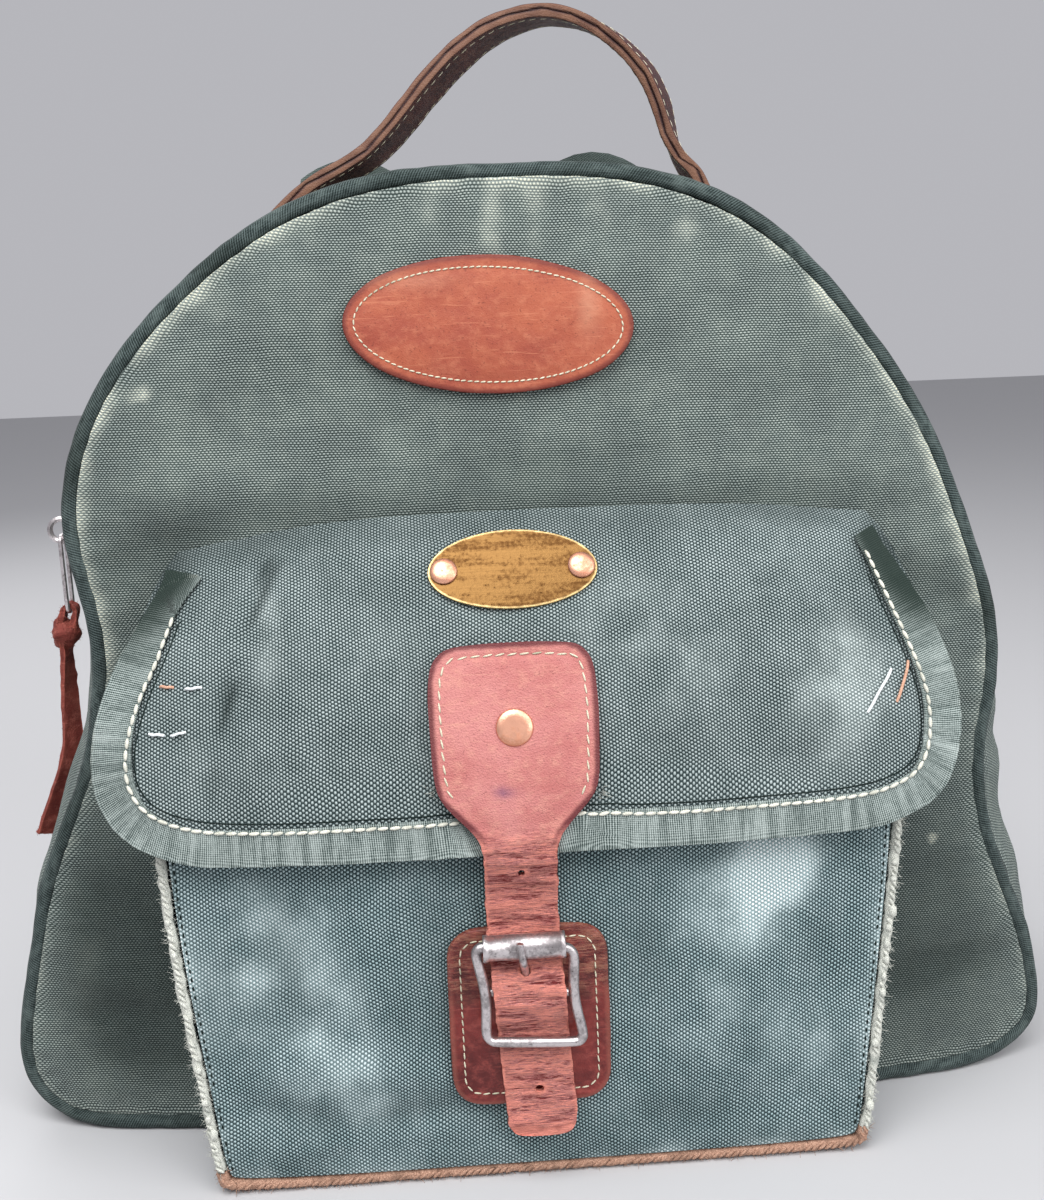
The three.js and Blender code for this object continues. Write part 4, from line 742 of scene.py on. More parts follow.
# Front and back of the body
frontWear = [
    (-4, 320, 5, 14, 0.55), (-24, 324, 4, 8, 0.35), (12, 320, 4, 12, 0.45), (34, 320, 6, 7, 0.3),
    (62, 314, 7, 6, 0.25), (-60, 312, 10, 6, 0.25), (-95, 296, 10, 8, 0.25), (110, 288, 9, 10, 0.2),
    (-124, 266, 4, 2.4, 1.0),
    (-150, 250, 10, 26, 0.15), (160, 225, 10, 26, 0.2), (148, 250, 12, 22, 0.15), (-160, 60, 10, 24, 0.2),
    (149.8, 93.3, 1.6, 1.6, 1.3),
]
# Painted shade on the front panel (middle x and z, width, height, strength): the darker lower sides beside
# the pocket and under the flap are painted shade and partly less-faded cloth, and bands run along the top of
# the flap
frontPaintedShade = [
    (-160, 95, 36, 48, 0.7), (-135, 45, 32, 42, 0.75), (165, 80, 36, 60, 0.5), (140, 40, 32, 42, 0.4),
    (-40, 226, 120, 8, 0.3), (80, 222, 70, 8, 0.25),
]
frontFolds = [
    ((-150, 205), (-95, 222), 9, -2.6), ((-140, 232), (-60, 236), 12, 1.6), ((-168, 46), (-118, 40), 7, -2.2),
    ((-170, 62), (-125, 56), 8, 1.8), ((-172, 30), (-120, 28), 6, -1.4), ((120, 40), (186, 46), 8, -2.0),
    ((126, 60), (186, 66), 9, 1.6), ((118, 200), (172, 178), 9, -2.2), ((60, 238), (150, 232), 12, 1.4),
    ((-40, 236), (70, 240), 7, -1.2), ((-110, 262), (-60, 300), 14, 1.2), ((70, 262), (120, 300), 14, 1.0),
]


def panel(node, shade, levels, slot, side=-1):  # side: -1 for a front, 1 for a back
    piece = dress(node, shade, levels, slot)
    outward = np.where(directions(piece)[:, 1] * side > 0, 1.0, -1.0)
    return piece, places(piece), rimOf(piece), outward


def makeBody():
    front, spots, rim, outward = panel("front_panel", bodyShade, 3, "body_canvas")
    swell = foldsOf(frontFolds, spots) + clouds(spots, 34, 1) * 1.5 + clouds(spots, 12, 2) * 0.35
    swell = swell * shares(rim / 9) + seamPuckers(front, frontLine, 8, 0.45, 3) * shares(rim / 2)
    push(front, swell * outward)
    tuckRim(front, frontLine, 1.5, rim)
    upper = np.clip((spots[:, 2] / mm - 90) / 90, 0.4, 1)  # the rim is paler high up
    wear = spotsOf(frontWear, spots) + 0.8 * np.exp(-rim / 2.2) * upper
    worn(front, wear * (0.9 + clouds(spots, 12, 4)), 1.3)
    # Painted shade from the marks above and in the fold valleys, with a little random tone
    dark = spotsOf(frontPaintedShade, spots) * (1 - np.exp(-rim / 5)) + 0.35 * shares(-foldsOf(frontFolds, spots) / 2)
    paintDirtAndShade(front, dark + clouds(spots, 40, 8) * 0.12, 0.8)
    lay(front, spots[:, 0], spots[:, 2])

    back, spots, rim, outward = panel("back_panel", bodyShade, 2, "body_canvas", 1)
    swell = clouds(spots, 46, 5) * 2.2 + clouds(spots, 15, 6) * 0.5
    push(back, (swell * shares(rim / 10)) * outward)
    tuckRim(back, backLine, 1.5, rim)
    worn(back, 0.7 * np.exp(-rim / 5) + clouds(spots, 40, 7) * 0.5)
    paintDirtAndShade(back, 0.5 * np.exp(-spots[:, 2] / mm / 18))
    lay(back, spots[:, 0], spots[:, 2])


makeBody()
print("body panels ready")


# Side band and the two strips beside the zip
sideFolds = {"wide": 13, "deep": 3.0, "fine": 0.3}
bandSeeds = {"gusset_base": 11, "gusset_front": 14, "gusset_rear": 17}


def makeBand(node, seed):
    band = dress(node, bodyShade, 2, "body_canvas")
    spots = places(band)
    run = alongPath(spots, frontLine, True)
    rim = rimOf(band)
    inner = directions(band)
    middle = spots - np.array([0, 0, 0.15])
    outward = np.where((inner[:, 0] * middle[:, 0] + inner[:, 2] * middle[:, 2]) > 0, 1.0, -1.0)
    flat = np.column_stack([run * 0.6, spots[:, 1] * 0.35, run * 0])
    low = shares(1 - np.abs(spots[:, 2] / mm - 90) / 110)
    swell = clouds(flat, sideFolds["wide"], seed) * sideFolds["deep"] * low + clouds(spots, 22, seed)
    swell += clouds(spots, 9, seed + 1) * sideFolds["fine"]
    lift = shares(spots[:, 2] / mm / 14)  # the base stays flat where it rests
    push(band, swell * shares(rim / 9) * outward * lift)
    worn(band, 0.6 * np.exp(-rim / 4) + clouds(spots, 30, seed) * 0.35)
    paintDirtAndShade(band, 0.6 * np.exp(-spots[:, 2] / mm / 10))
    lay(band, run, spots[:, 1])


for node, seed in bandSeeds.items():
    makeBand(node, seed)
for node, line in (("front_piping", frontLine), ("back_piping", backLine)):
    piping = tube(node + ".cord", line, pipingCord["radius"], True, pipingShade, slot="piping_canvas",
                  replaces=(node,))
    spots = places(piping)
    push(piping, clouds(spots, 7, 21) * 0.25)
    worn(piping, clouds(spots, 14, 22) * 0.5 - 0.1, 0.3)
    paintDirtAndShade(piping, clouds(spots, 28, 23) * 0.8, 0.6)
print("side band and piping ready")

# Pocket
pocketWear = [
    (76, 102, 13, 15, 1.0), (62, 92, 17, 17, 0.5), (84, 110, 15, 10, 0.45), (-2, 118, 24, 8, 0.3),
    (-70, 62, 16, 36, 0.35), (-92, 84, 22, 30, 0.4), (56, 56, 28, 20, 0.25), (-60, 30, 30, 16, 0.3),
    (90, 40, 16, 24, 0.3),
]
pocketFolds = [
    ((-86, 118), (-78, 50), 10, -1.6), ((-58, 124), (-52, 60), 12, 1.4), ((70, 120), (64, 40), 12, 1.5),
    ((38, 108), (36, 60), 8, -1.1), ((96, 100), (92, 30), 8, -1.4), ((-100, 22), (-20, 14), 8, -1.2),
    ((10, 16), (100, 24), 8, -1.0), ((-34, 110), (-30, 40), 8, -1.0), ((-104, 34), (-66, 24), 6, -2.0),
    ((-66, 24), (-12, 30), 6, -2.0), ((-98, 46), (-22, 40), 7, 1.6), ((-96, 16), (-30, 18), 6, 1.2),
]


def makePocket():
    front, spots, rim, outward = panel("pocket_front", pocketShade, 3, "pocket_canvas")
    swell = foldsOf(pocketFolds, spots) + clouds(spots, 26, 31) * 1.2 + clouds(spots, 9, 32) * 0.3
    push(front, swell * shares(rim / 8) * outward)
    wear = spotsOf(pocketWear, spots) + 0.5 * np.exp(-rim / 3.5)
    worn(front, wear * (0.85 + clouds(spots, 13, 33)), 1.3)
    # Painted shade in the fold valleys; the pocket is also darker towards the bottom
    low = 0.35 * shares(-foldsOf(pocketFolds, spots) / 2)
    paintDirtAndShade(front, 0.5 * np.exp(-spots[:, 2] / mm / 7) + low + clouds(spots, 30, 34) * 0.25)
    lay(front, spots[:, 0], spots[:, 2])

    side = dress("pocket_gusset", pocketShade, 2, "pocket_canvas")
    spots, rim = places(side), rimOf(side)
    push(side, clouds(spots, 14, 35) * 0.9 * shares(rim / 6) * shares(spots[:, 2] / mm / 8))
    worn(side, 0.4 * np.exp(-rim / 4))
    paintDirtAndShade(side, 0.35 + clouds(spots, 24, 36) * 0.4)
    isSide = np.abs(spots[:, 0]) > 0.1
    lay(side, np.where(isSide, spots[:, 2], spots[:, 0]), spots[:, 1])
    return front


pocketFront = makePocket()

edgeParts = {
    "pocket_piping_left": {"radius": 1.7, "shade": frayShade, "slot": "frayed_edge"},
    "pocket_hem": {"radius": 2.1, "shade": tanFibre, "slot": "worn_hem"},
    "pocket_piping_right": {"radius": 1.7, "shade": frayShade, "slot": "frayed_edge"},
}
cordTwist = {"pitch": 2.3, "stitch": 3.6, "thread": 1.3, "lift": 0.35, "slant": 0.75, "lost": 0.16}
sunkStitch = {"pitch": 3.1, "stitch": 1.7, "thread": 0.8, "lift": 0.0, "lost": 0.08, "inset": 4.0}
edgeFray = {"count": 9, "length": 3.4, "thick": 0.26, "comb": 1.3, "stray": 0.4}
edgeKnots = {"share": 0.45, "least": 0.9, "most": 1.7, "forward": 2.1}
for node, part in edgeParts.items():
    line = smoothPath(cordPath(node, pocketMiddle), False)
    slot, shade = part["slot"], part["shade"]
    edging = tube(node + ".cord", line, part["radius"], False, shade, slot=slot, replaces=(node,))
    push(edging, clouds(places(edging), 3.2, 41) * 0.8 + clouds(places(edging), 1.3, 42) * 0.35)
    roots = []
    for i in range(len(line)):
        along = tangentAt(line, i)
        for _ in range(edgeFray["count"]):
            out = Matrix.Rotation(random.uniform(0, 2 * math.pi), 3, along) @ along.orthogonal().normalized()
            roots.append((line[i] + out * part["radius"] * mm * 0.8, out, along))
    fibres(node + ".fibres", roots, shade, edgeFray, slot=slot)
    front = Vector((0, -1, 0))
    wraps = [(spot + front * part["radius"] * 0.85 * mm, front) for spot in line]
    stitchLine(node + ".twists", wraps, shade, cordTwist, slot=slot)
    if node != "pocket_hem":
        inside = insetPath(line, sunkStitch["inset"], surfaceOf(pocketFront), pocketMiddle)
        stitchLine(node + ".holes", inside, darkThread, sunkStitch, slot=slot)
        bm = bmesh.new()
        for i in range(4, len(line) - 4, 3):
            if random.random() < edgeKnots["share"]:
                size = random.uniform(edgeKnots["least"], edgeKnots["most"])
                spot = line[i] + Vector((random.uniform(-0.8, 0.8), -edgeKnots["forward"], 0)) * mm
                form = Matrix.Diagonal((1, 0.8, random.uniform(0.8, 1.8), 1))
                bmesh.ops.create_icosphere(bm, subdivisions=1, radius=size * mm,
                                           matrix=Matrix.Translation(spot) @ form)
        fromBmesh(node + ".knots", bm, shade, slot=slot)
print("pocket ready")

# Flap and its binding
flapFolds = [
    ((-80, 213), (-91, 184), 3.6, -3.2), ((-92, 184), (-99, 156), 3.4, -2.6),
    ((-98, 158), (-103, 136), 6, -1.4), ((-87, 208), (-98, 178), 4.5, 2.4),
    ((-74, 208), (-84, 170), 6, 1.8), ((-104, 205), (-112, 160), 8, 2.0),
    ((-70, 206), (-78, 150), 11, 2.0), ((76, 202), (70, 148), 9, -1.3), ((92, 200), (90, 146), 12, 1.6),
    ((108, 205), (112, 150), 8, -1.2), ((-50, 214), (-44, 150), 12, -0.8),
    ((40, 215), (40, 150), 12, 1.2), ((-130, 210), (-60, 222), 9, -1.8),
    ((60, 224), (128, 214), 9, -1.4), ((30, 150), (110, 138), 8, -0.9),
]
# Pale patches on the flap: wear, and painted highlight on the lit fold ridges (middle x and z, width, height,
# strength)
flapWearAndHighlight = [
    (-106, 164, 8, 26, 0.2), (-82, 186, 5, 22, 0.35), (96, 160, 16, 28, 0.28), (34, 190, 24, 16, 0.25),
    (50, 162, 18, 24, 0.22), (-44, 186, 18, 20, 0.15),
    (112, 168, 12, 24, 0.35), (-30, 150, 20, 20, 0.15),
]
# Painted shade at the flap's top corners, where it meets the body, and along its top
flapPaintedShade = [(-118, 207, 10, 10, 0.9), (127, 207, 10, 12, 0.9), (0, 220, 110, 7, 0.4)]


def makeFlap():
    flap = dress("pocket_flap", flapShade, 3, "pocket_canvas")
    binding = dress("flap_binding", tapeShade, 3, "binding_tape", bevel=0.25)
    for piece in (flap, binding):
        spots = places(piece)
        flat = np.column_stack([spots[:, 0], spots[:, 2], spots[:, 2] * 0])
        swell = foldsOf(flapFolds, spots) + clouds(flat, 28, 51) * 1.2
        spots[:, 1] -= swell * mm  # the whole thickness moves together
        moveTo(piece, spots)
    spots = places(flap)
    worn(flap, spotsOf(flapWearAndHighlight, spots) * (0.9 + clouds(spots, 14, 53)))
    # Painted shade in the fold valleys
    paintedValleyShade = shares((-foldsOf(flapFolds, spots) - 0.9) / 2.0)
    paintDirtAndShade(flap, paintedValleyShade * 1.1 + spotsOf(flapPaintedShade, spots) + clouds(spots, 24, 54) * 0.2)
    steep = spots[:, 2] + np.abs(spots[:, 1] + 0.12) * 0.55
    lay(flap, spots[:, 0], steep)
    return flap, binding


flapPiece, bindingPiece = makeFlap()


def rimLine(piece, centre, step=3.0):  # outermost points of a piece round a centre, seen from the front
    best = {}
    for spot in places(piece):
        x, z = spot[0] / mm - centre[0], spot[2] / mm - centre[1]
        slot = round(math.degrees(math.atan2(z, x)) / step)
        if slot not in best or math.hypot(x, z) > best[slot][0]:
            best[slot] = (math.hypot(x, z), Vector(spot))
    order = sorted(best)
    gaps = [((order[(i + 1) % len(order)] - order[i]) * step) % 360 for i in range(len(order))]
    return [best[slot][1] for slot in afterGap(order, gaps)]


def relaxed(path, rounds):
    for _ in range(rounds):
        inner = [(path[i - 1] + path[i] * 2 + path[i + 1]) / 4 for i in range(1, len(path) - 1)]
        path = [path[0]] + inner + [path[-1]]
    return path


bindingRim = relaxed(smoothPath(rimLine(bindingPiece, flapMiddle), False), 12)
spots = places(bindingPiece)
run = alongPath(spots, bindingRim)
away = distances(spots, treeOf(bindingRim))
lay(bindingPiece, run, away)
# Painted shade on the binding: at the corners where the flap meets the body, and down its left side
cornerPaintedShade = [
    (-119, 207, 11, 13, 1.3), (-132, 193, 11, 13, 0.7), (134, 198, 16, 20, 1.3), (122, 212, 12, 12, 0.9),
    (-148, 158, 10, 32, 0.5),
]
paintDirtAndShade(bindingPiece, spotsOf(cornerPaintedShade, spots) + clouds(spots, 20, 56) * 0.3, 1.2)
worn(bindingPiece, 0.5 - away / mm / 6, 0.5)
endShare = shares((spots[:, 2] / mm - 182) / 26)  # the ends narrow at the seam
spots[:, 0] -= np.sign(spots[:, 0]) * endShare ** 1.5 * shares(1 - away / mm / 14) * 5 * mm
puckers = clouds(np.column_stack([run, run * 0, run * 0]), 4.2, 57) * np.clip(1 - away / mm / 16, 0.2, 1)
spots[:, 1] -= puckers * 0.7 * mm
moveTo(bindingPiece, spots)
print("flap ready")


bindingStitch = {"pitch": 3.7, "stitch": 3.6, "thread": 1.35, "lift": 0.3, "slant": 0.12, "inset": 11.8}
edgeShadow = {"pitch": 2.2, "stitch": 3.0, "thread": 0.6, "lift": 0.0, "inset": 14.2}
flapTree = surfaceOf(flapPiece)
seam = insetPath(bindingRim, bindingStitch["inset"], surfaceOf(bindingPiece), flapMiddle, 2)
stitchLine("binding_stitches", seam, paleThread, bindingStitch, slot="binding_tape")
# Painted shadow: a thin dark thread along the binding's inner edge, where the tape's edge shades the flap
seam = insetPath(bindingRim, edgeShadow["inset"], flapTree, flapMiddle, 6)
stitchLine("binding_edge_shadow", seam, darkThread, edgeShadow, slot="binding_tape")

# Ends of tag threads left in the flap: from (x, z) to (x, z), thread
whiteThread = threadShade("white thread", tint(206, 212, 214), tint(236, 240, 240), tint(170, 176, 176))
orangeThread = threadShade("orange thread", tint(186, 140, 116), tint(208, 168, 146), tint(148, 110, 90))
tagThreads = [
    ((-117, 175.5), (-112.5, 175.4), orangeThread), ((-108.5, 175), (-103.5, 175.3), whiteThread),
    ((-120.8, 161.4), (-116, 161.2), whiteThread), ((-113.6, 161), (-109, 162.2), whiteThread),
    ((111.2, 157), (120.6, 169.6), whiteThread), ((121.5, 159.5), (126.8, 171.5), orangeThread),
]
for number, (start, end, shade) in enumerate(tagThreads):
    path = []
    for step in range(9):
        share = step / 8
        x, z = (start[axis] + (end[axis] - start[axis]) * share for axis in (0, 1))
        spot, normal = onFront(flapTree, x, z + 0.12 * math.sin(step * 1.1 + number))
        path.append(spot + normal * (0.8 - 0.8 * abs(2 * share - 1) ** 4) * mm)
    tube("tag_thread_" + str(number + 1), smoothPath(path, False, 0.6), 0.5, False, shade, 1,
         slot="binding_tape")
tabFluff = {"length": 3.4, "thick": 0.22, "comb": 1.0, "stray": 0.5}
tufts = []
for x, z, count in ((-30.6, 140.7, 26), (22.5, 137.5, 20)):  # fluff at the foot of the tab
    spot, normal = onFront(flapTree, x, z)
    tufts += [(spot + Vector((random.gauss(0, 0.9), 0, random.gauss(0, 0.9))) * mm, normal, Vector((1, 0, 0)))
              for _ in range(count)]
fibres("tab_fluff", tufts, frayShade, tabFluff, slot="binding_tape")

# Leathers
orangeHide = {
    "base": tint(158, 86, 64), "dark": tint(140, 70, 56), "light": tint(180, 112, 86),
    "pore": tint(88, 40, 34), "crack": tint(96, 40, 32), "rim": tint(98, 46, 42),
    "raw": tint(188, 138, 112), "stain": tint(104, 58, 60),
    "pores": 0.5, "scuffs": 0.5, "burn": 0.8, "rimFrom": 0.8, "rimTo": 2.6, "rough": 0.52, "grain": 0.25,
}
pinkHide = {
    "base": tint(184, 120, 116), "dark": tint(170, 102, 98), "light": tint(200, 142, 126),
    "pore": tint(104, 56, 58), "crack": tint(104, 26, 28), "rim": tint(88, 40, 44),
    "raw": tint(228, 142, 126), "stain": tint(72, 52, 96),
    "pores": 0.45, "scuffs": 0.35, "burn": 0.9, "rimFrom": 1.0, "rimTo": 2.7, "rough": 0.5, "grain": 0.8,
}
# The lighter rim on the buckle leather is partly a painted highlight along its edges
redHide = {
    "base": tint(122, 46, 42), "dark": tint(76, 24, 24), "light": tint(168, 84, 76),
    "pore": tint(56, 20, 20), "crack": tint(50, 18, 18), "rim": tint(132, 76, 64),
    "raw": tint(170, 120, 96), "stain": tint(52, 20, 22),
    "pores": 0.4, "scuffs": 0.3, "burn": 0.5, "rimFrom": 0.8, "rimTo": 2.2, "rough": 0.32, "grain": 0.3,
    "coat": 0.22, "shine": 0.3,
}
brownHide = {
    "base": tint(76, 42, 41), "dark": tint(48, 27, 28), "light": tint(98, 60, 52),
    "pore": tint(34, 20, 20), "crack": tint(28, 16, 16), "rim": tint(108, 76, 63),
    "raw": tint(116, 84, 68), "stain": tint(30, 18, 20),
    "pores": 0.4, "scuffs": 0.4, "burn": 0.0, "rimFrom": 0.2, "rimTo": 0.8, "rough": 0.5, "grain": 0.5,
}
thongHide = {
    "base": tint(134, 66, 58), "dark": tint(98, 44, 40), "light": tint(184, 112, 98),
    "pore": tint(70, 30, 28), "crack": tint(66, 24, 22), "rim": tint(166, 90, 76),
    "raw": tint(190, 130, 104), "stain": tint(70, 30, 30),
    "pores": 0.7, "scuffs": 0.6, "burn": 0.6, "rimFrom": 0.1, "rimTo": 0.8, "rough": 0.7, "grain": 0.9,
}
orangeShade = leatherShade("patch leather", orangeHide)
pinkShade = leatherShade("tab leather", pinkHide)
redShade = leatherShade("buckle leather", redHide)
brownShade = leatherShade("handle leather", brownHide)
thongShade = leatherShade("thong leather", thongHide)

ovalPatch = dress("oval_patch", orangeShade, 2, "patch_leather", bevel=0.8)
flapStrap = dress("flap_strap", pinkShade, 3, "tab_leather", bevel=0.5)
bucklePatch = dress("buckle_patch", redShade, 2, "buckle_leather", bevel=0.6)
dress("buckle_chape", redShade, 1, "buckle_leather", bevel=0.2)


def ridge(rim, at, wide):
    return np.exp(-((rim - at) / wide) ** 2)


def finishPatch():
    spots, rim = places(ovalPatch), rimOf(ovalPatch)
    push(ovalPatch, clouds(spots, 14, 61) * 0.35 - ridge(rim, 4.2, 0.9) * 0.35)
    worn(ovalPatch, spotsOf([(28, 290, 3, 9, 0.5), (-30, 300, 14, 3, 0.25)], spots))


def finishTab():
    spots, rim = places(flapStrap), rimOf(flapStrap)
    z = spots[:, 2] / mm
    down = shares((130 - z) / 8)
    flat = np.column_stack([spots[:, 0] * 0.16, spots[:, 2], spots[:, 0] * 0])
    push(flapStrap, clouds(spots, 12, 62) * 0.3 * (1 - down) + clouds(flat, 2.6, 63) * 0.9 * down
         - ridge(rim, 4.4, 1.0) * 0.4 * (1 - down))
    mark(flapStrap, "cracks", down)
    tip = shares((25 - z) / 3) * (0.7 + clouds(spots, 3, 64))
    edge = down * shares(1.5 - rim / 0.9) * (0.6 + clouds(spots, 4, 66))
    worn(flapStrap, np.maximum(tip, edge))
    paintDirtAndShade(flapStrap, spotsOf([(-8, 141, 2.4, 1.8, 0.7)], spots))


finishPatch()
finishTab()
spots, rim = places(bucklePatch), rimOf(bucklePatch)
push(bucklePatch, clouds(spots, 9, 65) * 0.25 - ridge(rim, 4.4, 1.0) * 0.45 + ridge(rim, 1.6, 1.2) * 0.25)
mark(bucklePatch, "cracks", shares((spots[:, 2] / mm - 66) / 14, 0.5))


def ovalRing(piece, look):
    ring = []
    tree = surfaceOf(piece)
    turn = math.radians(look["tilt"])
    wide, tall = look["wide"] / 2 - look["inset"], look["tall"] / 2 - look["inset"]
    for step in range(121):
        angle = step * math.pi / 60
        x, z = wide * math.cos(angle), tall * math.sin(angle)
        ring.append(onFront(tree, look["middle"][0] + x * math.cos(turn) - z * math.sin(turn),
                            look["middle"][1] + x * math.sin(turn) + z * math.cos(turn)))
    return [hit for hit in ring if hit]


def boxRing(piece, low, high, look):  # rounded square ring between two corners (x, z)
    ring = []
    tree = surfaceOf(piece)
    radius, inset = look["corner"], look["inset"]
    middles = [(high[0] - radius, high[1] - radius), (low[0] + radius, high[1] - radius),
               (low[0] + radius, low[1] + radius), (high[0] - radius, low[1] + radius)]
    for corner, (x, z) in enumerate(middles):
        for step in range(9):
            angle = (corner + step / 8) * math.pi / 2
            ring.append((x + (radius - inset) * math.cos(angle), z + (radius - inset) * math.sin(angle)))
    ring.append(ring[0])
    dense = smoothPath([Vector((x * mm, 0, z * mm)) for x, z in ring], False, 1.5)
    hits = [onFront(tree, spot.x / mm, spot.z / mm) for spot in dense]
    return [hit for hit in hits if hit]


patchStitch = {"pitch": 2.2, "stitch": 1.9, "thread": 0.62, "lift": 0.12, "slant": 0.12,
               "middle": (-5.5, 285), "wide": 98, "tall": 46, "tilt": -3, "inset": 4.2}
tabStitch = {"pitch": 4.0, "stitch": 3.3, "thread": 0.72, "lift": 0.12, "slant": 0.16, "inset": 3.6}
buckleStitch = {"pitch": 3.0, "stitch": 2.5, "thread": 0.6, "lift": 0.1, "slant": 0.1,
                "corner": 10, "inset": 4.2}
patchRing = ovalRing(ovalPatch, patchStitch)
stitchLine("oval_patch_stitches", patchRing, creamThread, patchStitch, slot="patch_leather")
tabRim = smoothPath(rimLine(flapStrap, tabMiddle, 6), False, 1.5)
tabRing = insetPath(tabRim, tabStitch["inset"], surfaceOf(flapStrap), tabMiddle)
tabRing = [hit for hit in tabRing if hit[0].z > 0.138]  # the spoon only
gaps = [(tabRing[(i + 1) % len(tabRing)][0] - tabRing[i][0]).length for i in range(len(tabRing))]
stitchLine("tab_stitches", afterGap(tabRing, gaps), creamThread, tabStitch, slot="tab_leather")
low, high = cornersOf("buckle_patch")
buckleRing = boxRing(bucklePatch, (low.x, low.z), (high.x, high.z), buckleStitch)
stitchLine("buckle_patch_stitches", buckleRing, creamThread, buckleStitch, slot="buckle_leather")
print("leathers ready")

# Metal
nickel = {
    "bright": tint(212, 205, 206), "dull": tint(152, 146, 147), "dark": tint(70, 62, 62),
    "scratches": 0.3, "pits": 0.8, "rough": 0.27, "grooves": 0.05,
}
brassPlate = {
    "bright": tint(104, 78, 48), "dull": tint(86, 60, 36), "dark": tint(58, 40, 24),
    "rim": tint(224, 196, 140), "rimFrom": 0.2, "rimTo": 1.1, "rimShare": 0.8,
    "scratches": 0.6, "pits": 0.35, "rough": 0.3, "grooves": 0.05,
    "streak": (30, 30, 3), "brush": (16, 16, 0.4),
}
copperHead = {
    "bright": tint(236, 176, 148), "dull": tint(208, 146, 118), "dark": tint(120, 72, 52),
    "scratches": 0.4, "pits": 0.4, "rough": 0.34, "grooves": 0.04,
}
nickelShade = metalShade("worn nickel", nickel)
brassShade = metalShade("brushed brass", brassPlate)
copperShade = metalShade("copper", copperHead)

dress("buckle_frame", nickelShade, 2, "nickel", bevel=0.0001)
dress("buckle_tongue", nickelShade, 2, "nickel", bevel=0.3)
namePlate = dress("name_plate", brassShade, 2, "brass", bevel=0.25)
dress("zip_slider", nickelShade, 2, "nickel", bevel=0.35)
dress("zip_pull", nickelShade, 2, "nickel", bevel=0.0001, body="pull")
thong = dress("pull_thong", thongShade, 2, "thong_leather", bevel=0.3, body="pull")
spots = places(thong)
knot = np.exp(-((spots[:, 2] / mm - cornersOf("pull_thong")[1].z + 14) / 7) ** 2)
swell = clouds(spots, 2.2, 71) * 0.5 + clouds(spots, 7, 72) * 0.5
push(thong, swell + knot * (0.7 + clouds(spots, 4.5, 74) * 2.2))
fuzzShade = threadShade("thong fuzz", tint(120, 60, 54), tint(178, 108, 96), tint(92, 44, 40))
thongFuzz = {"count": 700, "length": 1.3, "thick": 0.16, "comb": 0.7, "stray": 0.5}
spots, normals = places(thong), directions(thong)
chosen = random.sample(range(len(spots)), thongFuzz["count"])
fuzz = [(Vector(spots[i]), Vector(normals[i]), Vector((0, 0, -1))) for i in chosen]
fibres("pull_thong.fuzz", fuzz, fuzzShade, thongFuzz, slot="thong_leather", body="pull")


def makeRoller():
    low, high = cornersOf("buckle_roller")
    half = (high.x - low.x) / 2
    radius = (high.z - low.z) / 2
    inner = radius - 1.2
    lip = [(radius - 0.3, 1.8), (radius, 1.6), (radius + 0.1, 0.5), (radius, 0), (inner, 0)]
    profile = [(wide, rise - half) for wide, rise in reversed(lip)] + [(radius - 0.25, 0)]
    profile += [(wide, half - rise) for wide, rise in lip] + [(inner, -half)]
    middle = (low + high) / 2 * mm
    roller = lathe("buckle_roller.sleeve", profile, middle, Vector((1, 0, 0)), nickelShade, 28,
                   slot="nickel", replaces=("buckle_roller",))
    push(roller, clouds(places(roller), 4, 73) * 0.12)


makeRoller()

plateRivet = {"radius": 4.5, "rise": 1.7, "dome": 0.8}
tabRivet = {"radius": 6.0, "rise": 0.9, "dome": 0.25}
rivets = {"plate_rivet_left": plateRivet, "plate_rivet_right": plateRivet, "tab_rivet": tabRivet}
for node, rivet in rivets.items():
    low, high = cornersOf(node)
    middle = (low + high) / 2
    carrier = surfaceOf(flapStrap if node == "tab_rivet" else namePlate)
    spot, normal = onFront(carrier, middle.x, middle.z)
    radius, rise, dome = rivet["radius"], rivet["rise"], rivet["dome"]
    profile = [(0, 0), (radius, 0), (radius, rise * 0.35), (radius * 0.93, rise * (1 - dome * 0.5)),
               (radius * 0.6, rise * (1 - dome * 0.14)), (radius * 0.25, rise), (0, rise)]
    lathe(node + ".head", profile, spot, normal, copperShade, 28, slot="copper", replaces=(node,))
print("metal ready")

# Zip
zipDark = threadShade("zip tape", tint(30, 36, 34), tint(46, 54, 50), tint(22, 26, 24))
zipBrass = metalShade("zip brass", dict(brassPlate, bright=tint(176, 150, 92), dull=tint(120, 98, 56),
                                        rimShare=0.0, streak=(6, 6, 6), brush=(2, 2, 2)))
dress("zip_tape", zipDark, 1, "zip_cloth", bevel=0.2)
zipTeeth = {"pitch": 1.6, "long": 3.4, "thick": 0.9, "high": 1.5, "apart": 0.95}
zipLine = smoothPath(cordPath("zip_chain", bodyMiddle, 4), False, zipTeeth["pitch"])


def makeTeeth():
    bm = bmesh.new()
    for i in range(2, len(zipLine) - 2):
        along = tangentAt(zipLine, i)
        side = Vector((0, 1, 0))
        up = side.cross(along).normalized()
        hand = 1 if i % 2 else -1
        spot = zipLine[i] + side * hand * zipTeeth["apart"] * mm
        sizes = (zipTeeth["thick"] * mm, zipTeeth["long"] * mm, zipTeeth["high"] * mm, 1.0)
        turn = Matrix((along, side, up)).transposed().to_4x4()
        bmesh.ops.create_cube(bm, size=1.0, matrix=Matrix.Translation(spot) @ turn @ Matrix.Diagonal(sizes))
    bmesh.ops.bevel(bm, geom=bm.edges[:], offset=0.14 * mm, segments=1, profile=0.5, affect="EDGES",
                    material=-1)
    fromBmesh("zip_chain.teeth", bm, zipBrass, slot="zip_metal", replaces=("zip_chain",))


makeTeeth()

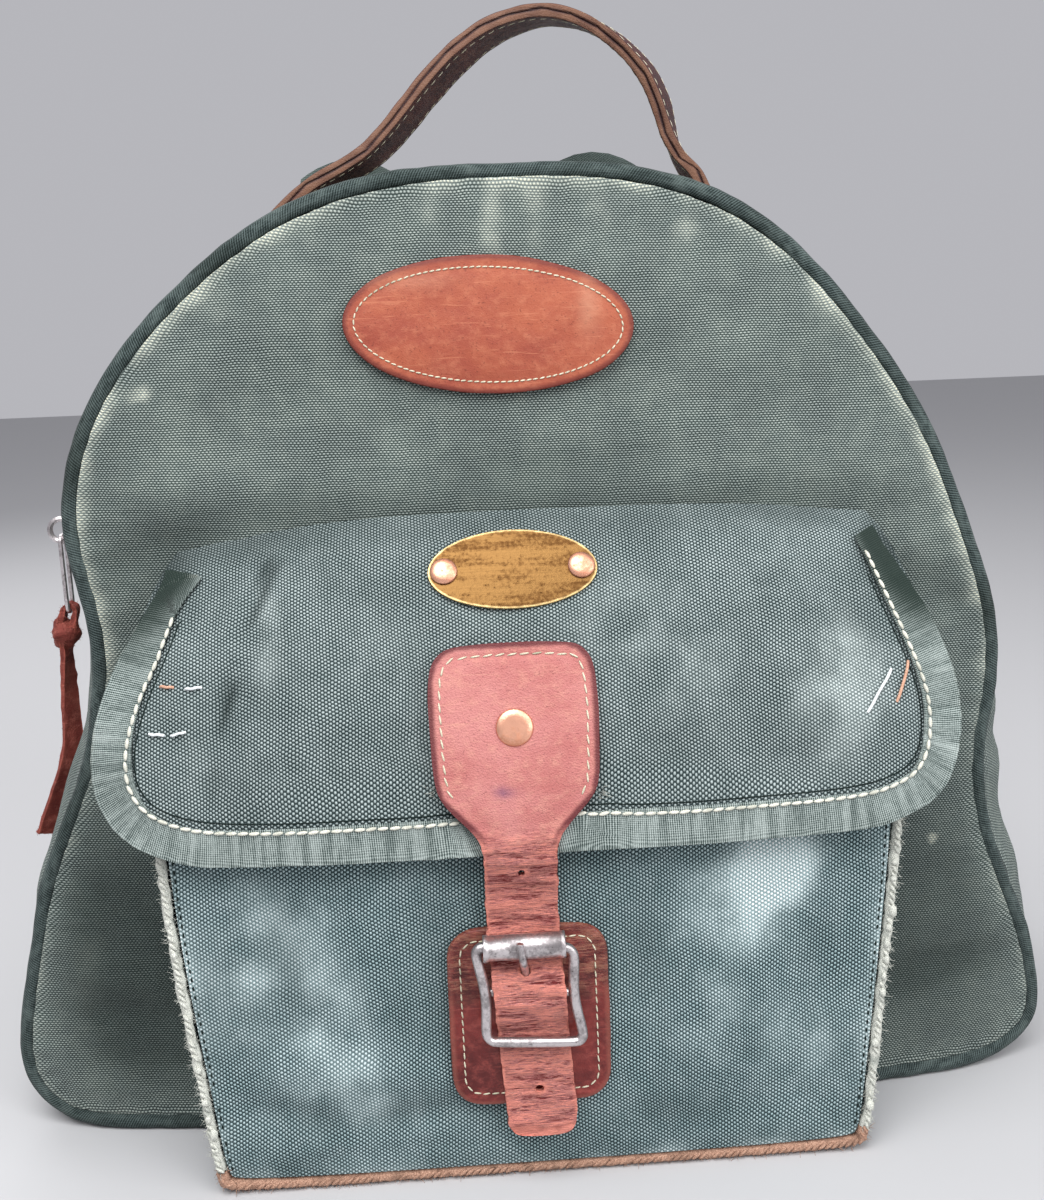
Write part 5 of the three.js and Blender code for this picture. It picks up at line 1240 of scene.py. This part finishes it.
# Handle and shoulder straps
handle = dress("top_handle", brownShade, 3, "handle_leather", bevel=0.7)
leftStrap = dress("shoulder_strap_left", strapShade, 2, "strap_web", bevel=0.6)
rightStrap = dress("shoulder_strap_right", strapShade, 2, "strap_web", bevel=0.6)
for strap in (leftStrap, rightStrap):
    spots = places(strap)
    lay(strap, spots[:, 0], spots[:, 2] + spots[:, 1] * 0.6)
    paintDirtAndShade(strap, 0.35 + clouds(spots, 30, 81) * 0.5)
handleLine = [(-70.9, 339.6), (-60.0, 343.5), (-46.1, 349.9), (-34.1, 361.4), (-22.9, 374.2),
              (-12.0, 385.1), (0.0, 394.0), (10.3, 398.5), (23.0, 401.7), (34.4, 400.4), (45.1, 396.6),
              (56.1, 388.9), (65.7, 378.7), (70.9, 366.5), (72.9, 355.6), (76.7, 346.0), (82.2, 340.9)]
handleStitch = {"pitch": 4.2, "stitch": 3.2, "thread": 0.6, "lift": -0.08, "slant": 0.1, "aside": 8.6}


def finishHandle():
    spots, rim = places(handle), rimOf(handle)
    isEdge = shares((np.abs(directions(handle)[:, 1]) - 0.72) / 0.2)
    groove = np.exp(-((rim - 2.75) / 0.5) ** 2) * isEdge
    push(handle, clouds(spots, 8, 82) * 0.3 - groove * 0.55 + clouds(spots, 2.5, 83) * 0.12 * isEdge)
    worn(handle, isEdge * (0.85 + clouds(spots, 6, 84) * 0.5) - groove * 1.2)
    paintDirtAndShade(handle, groove * 0.9)
    mark(handle, "cracks", np.where(directions(handle)[:, 2] < -0.2, 0.35, 0))
    line = smoothPath([Vector((x * mm, 0.032, z * mm)) for x, z in handleLine], False, 2)
    tree = surfaceOf(handle)
    for face, hand in (("outer", 1), ("under", -1)):
        for edge in (-1, 1):
            path = []
            for i in range(len(line)):
                out = tangentAt(line, i).cross(Vector((0, 1, 0))).normalized() * -hand
                start = line[i] + Vector((0, edge * handleStitch["aside"] * mm, 0)) + out * 30 * mm
                spot, normal, _, _ = tree.ray_cast(start, -out, 40 * mm)
                if spot:
                    path.append((spot, normal if normal.dot(out) > 0 else -normal))
            stitchLine("handle_stitches_" + face + ("_front" if edge < 0 else "_rear"), path, creamThread,
                       handleStitch, slot="handle_leather")


finishHandle()
for strap in (leftStrap, rightStrap):  # the strap's top crest falls away to its edges
    spots = places(strap)
    low, high = spots.min(0), spots.max(0)
    crest = shares((spots[:, 2] - high[2] + 0.03) / 0.03)
    topX = spots[crest > 0.9][:, 0]
    middle, half = (topX.min() + topX.max()) / 2, (topX.max() - topX.min()) / 2
    spots[:, 2] -= crest * 7.5 * mm * shares(np.abs(spots[:, 0] - middle) / half) ** 2
    moveTo(strap, spots)
print("handle and straps ready")
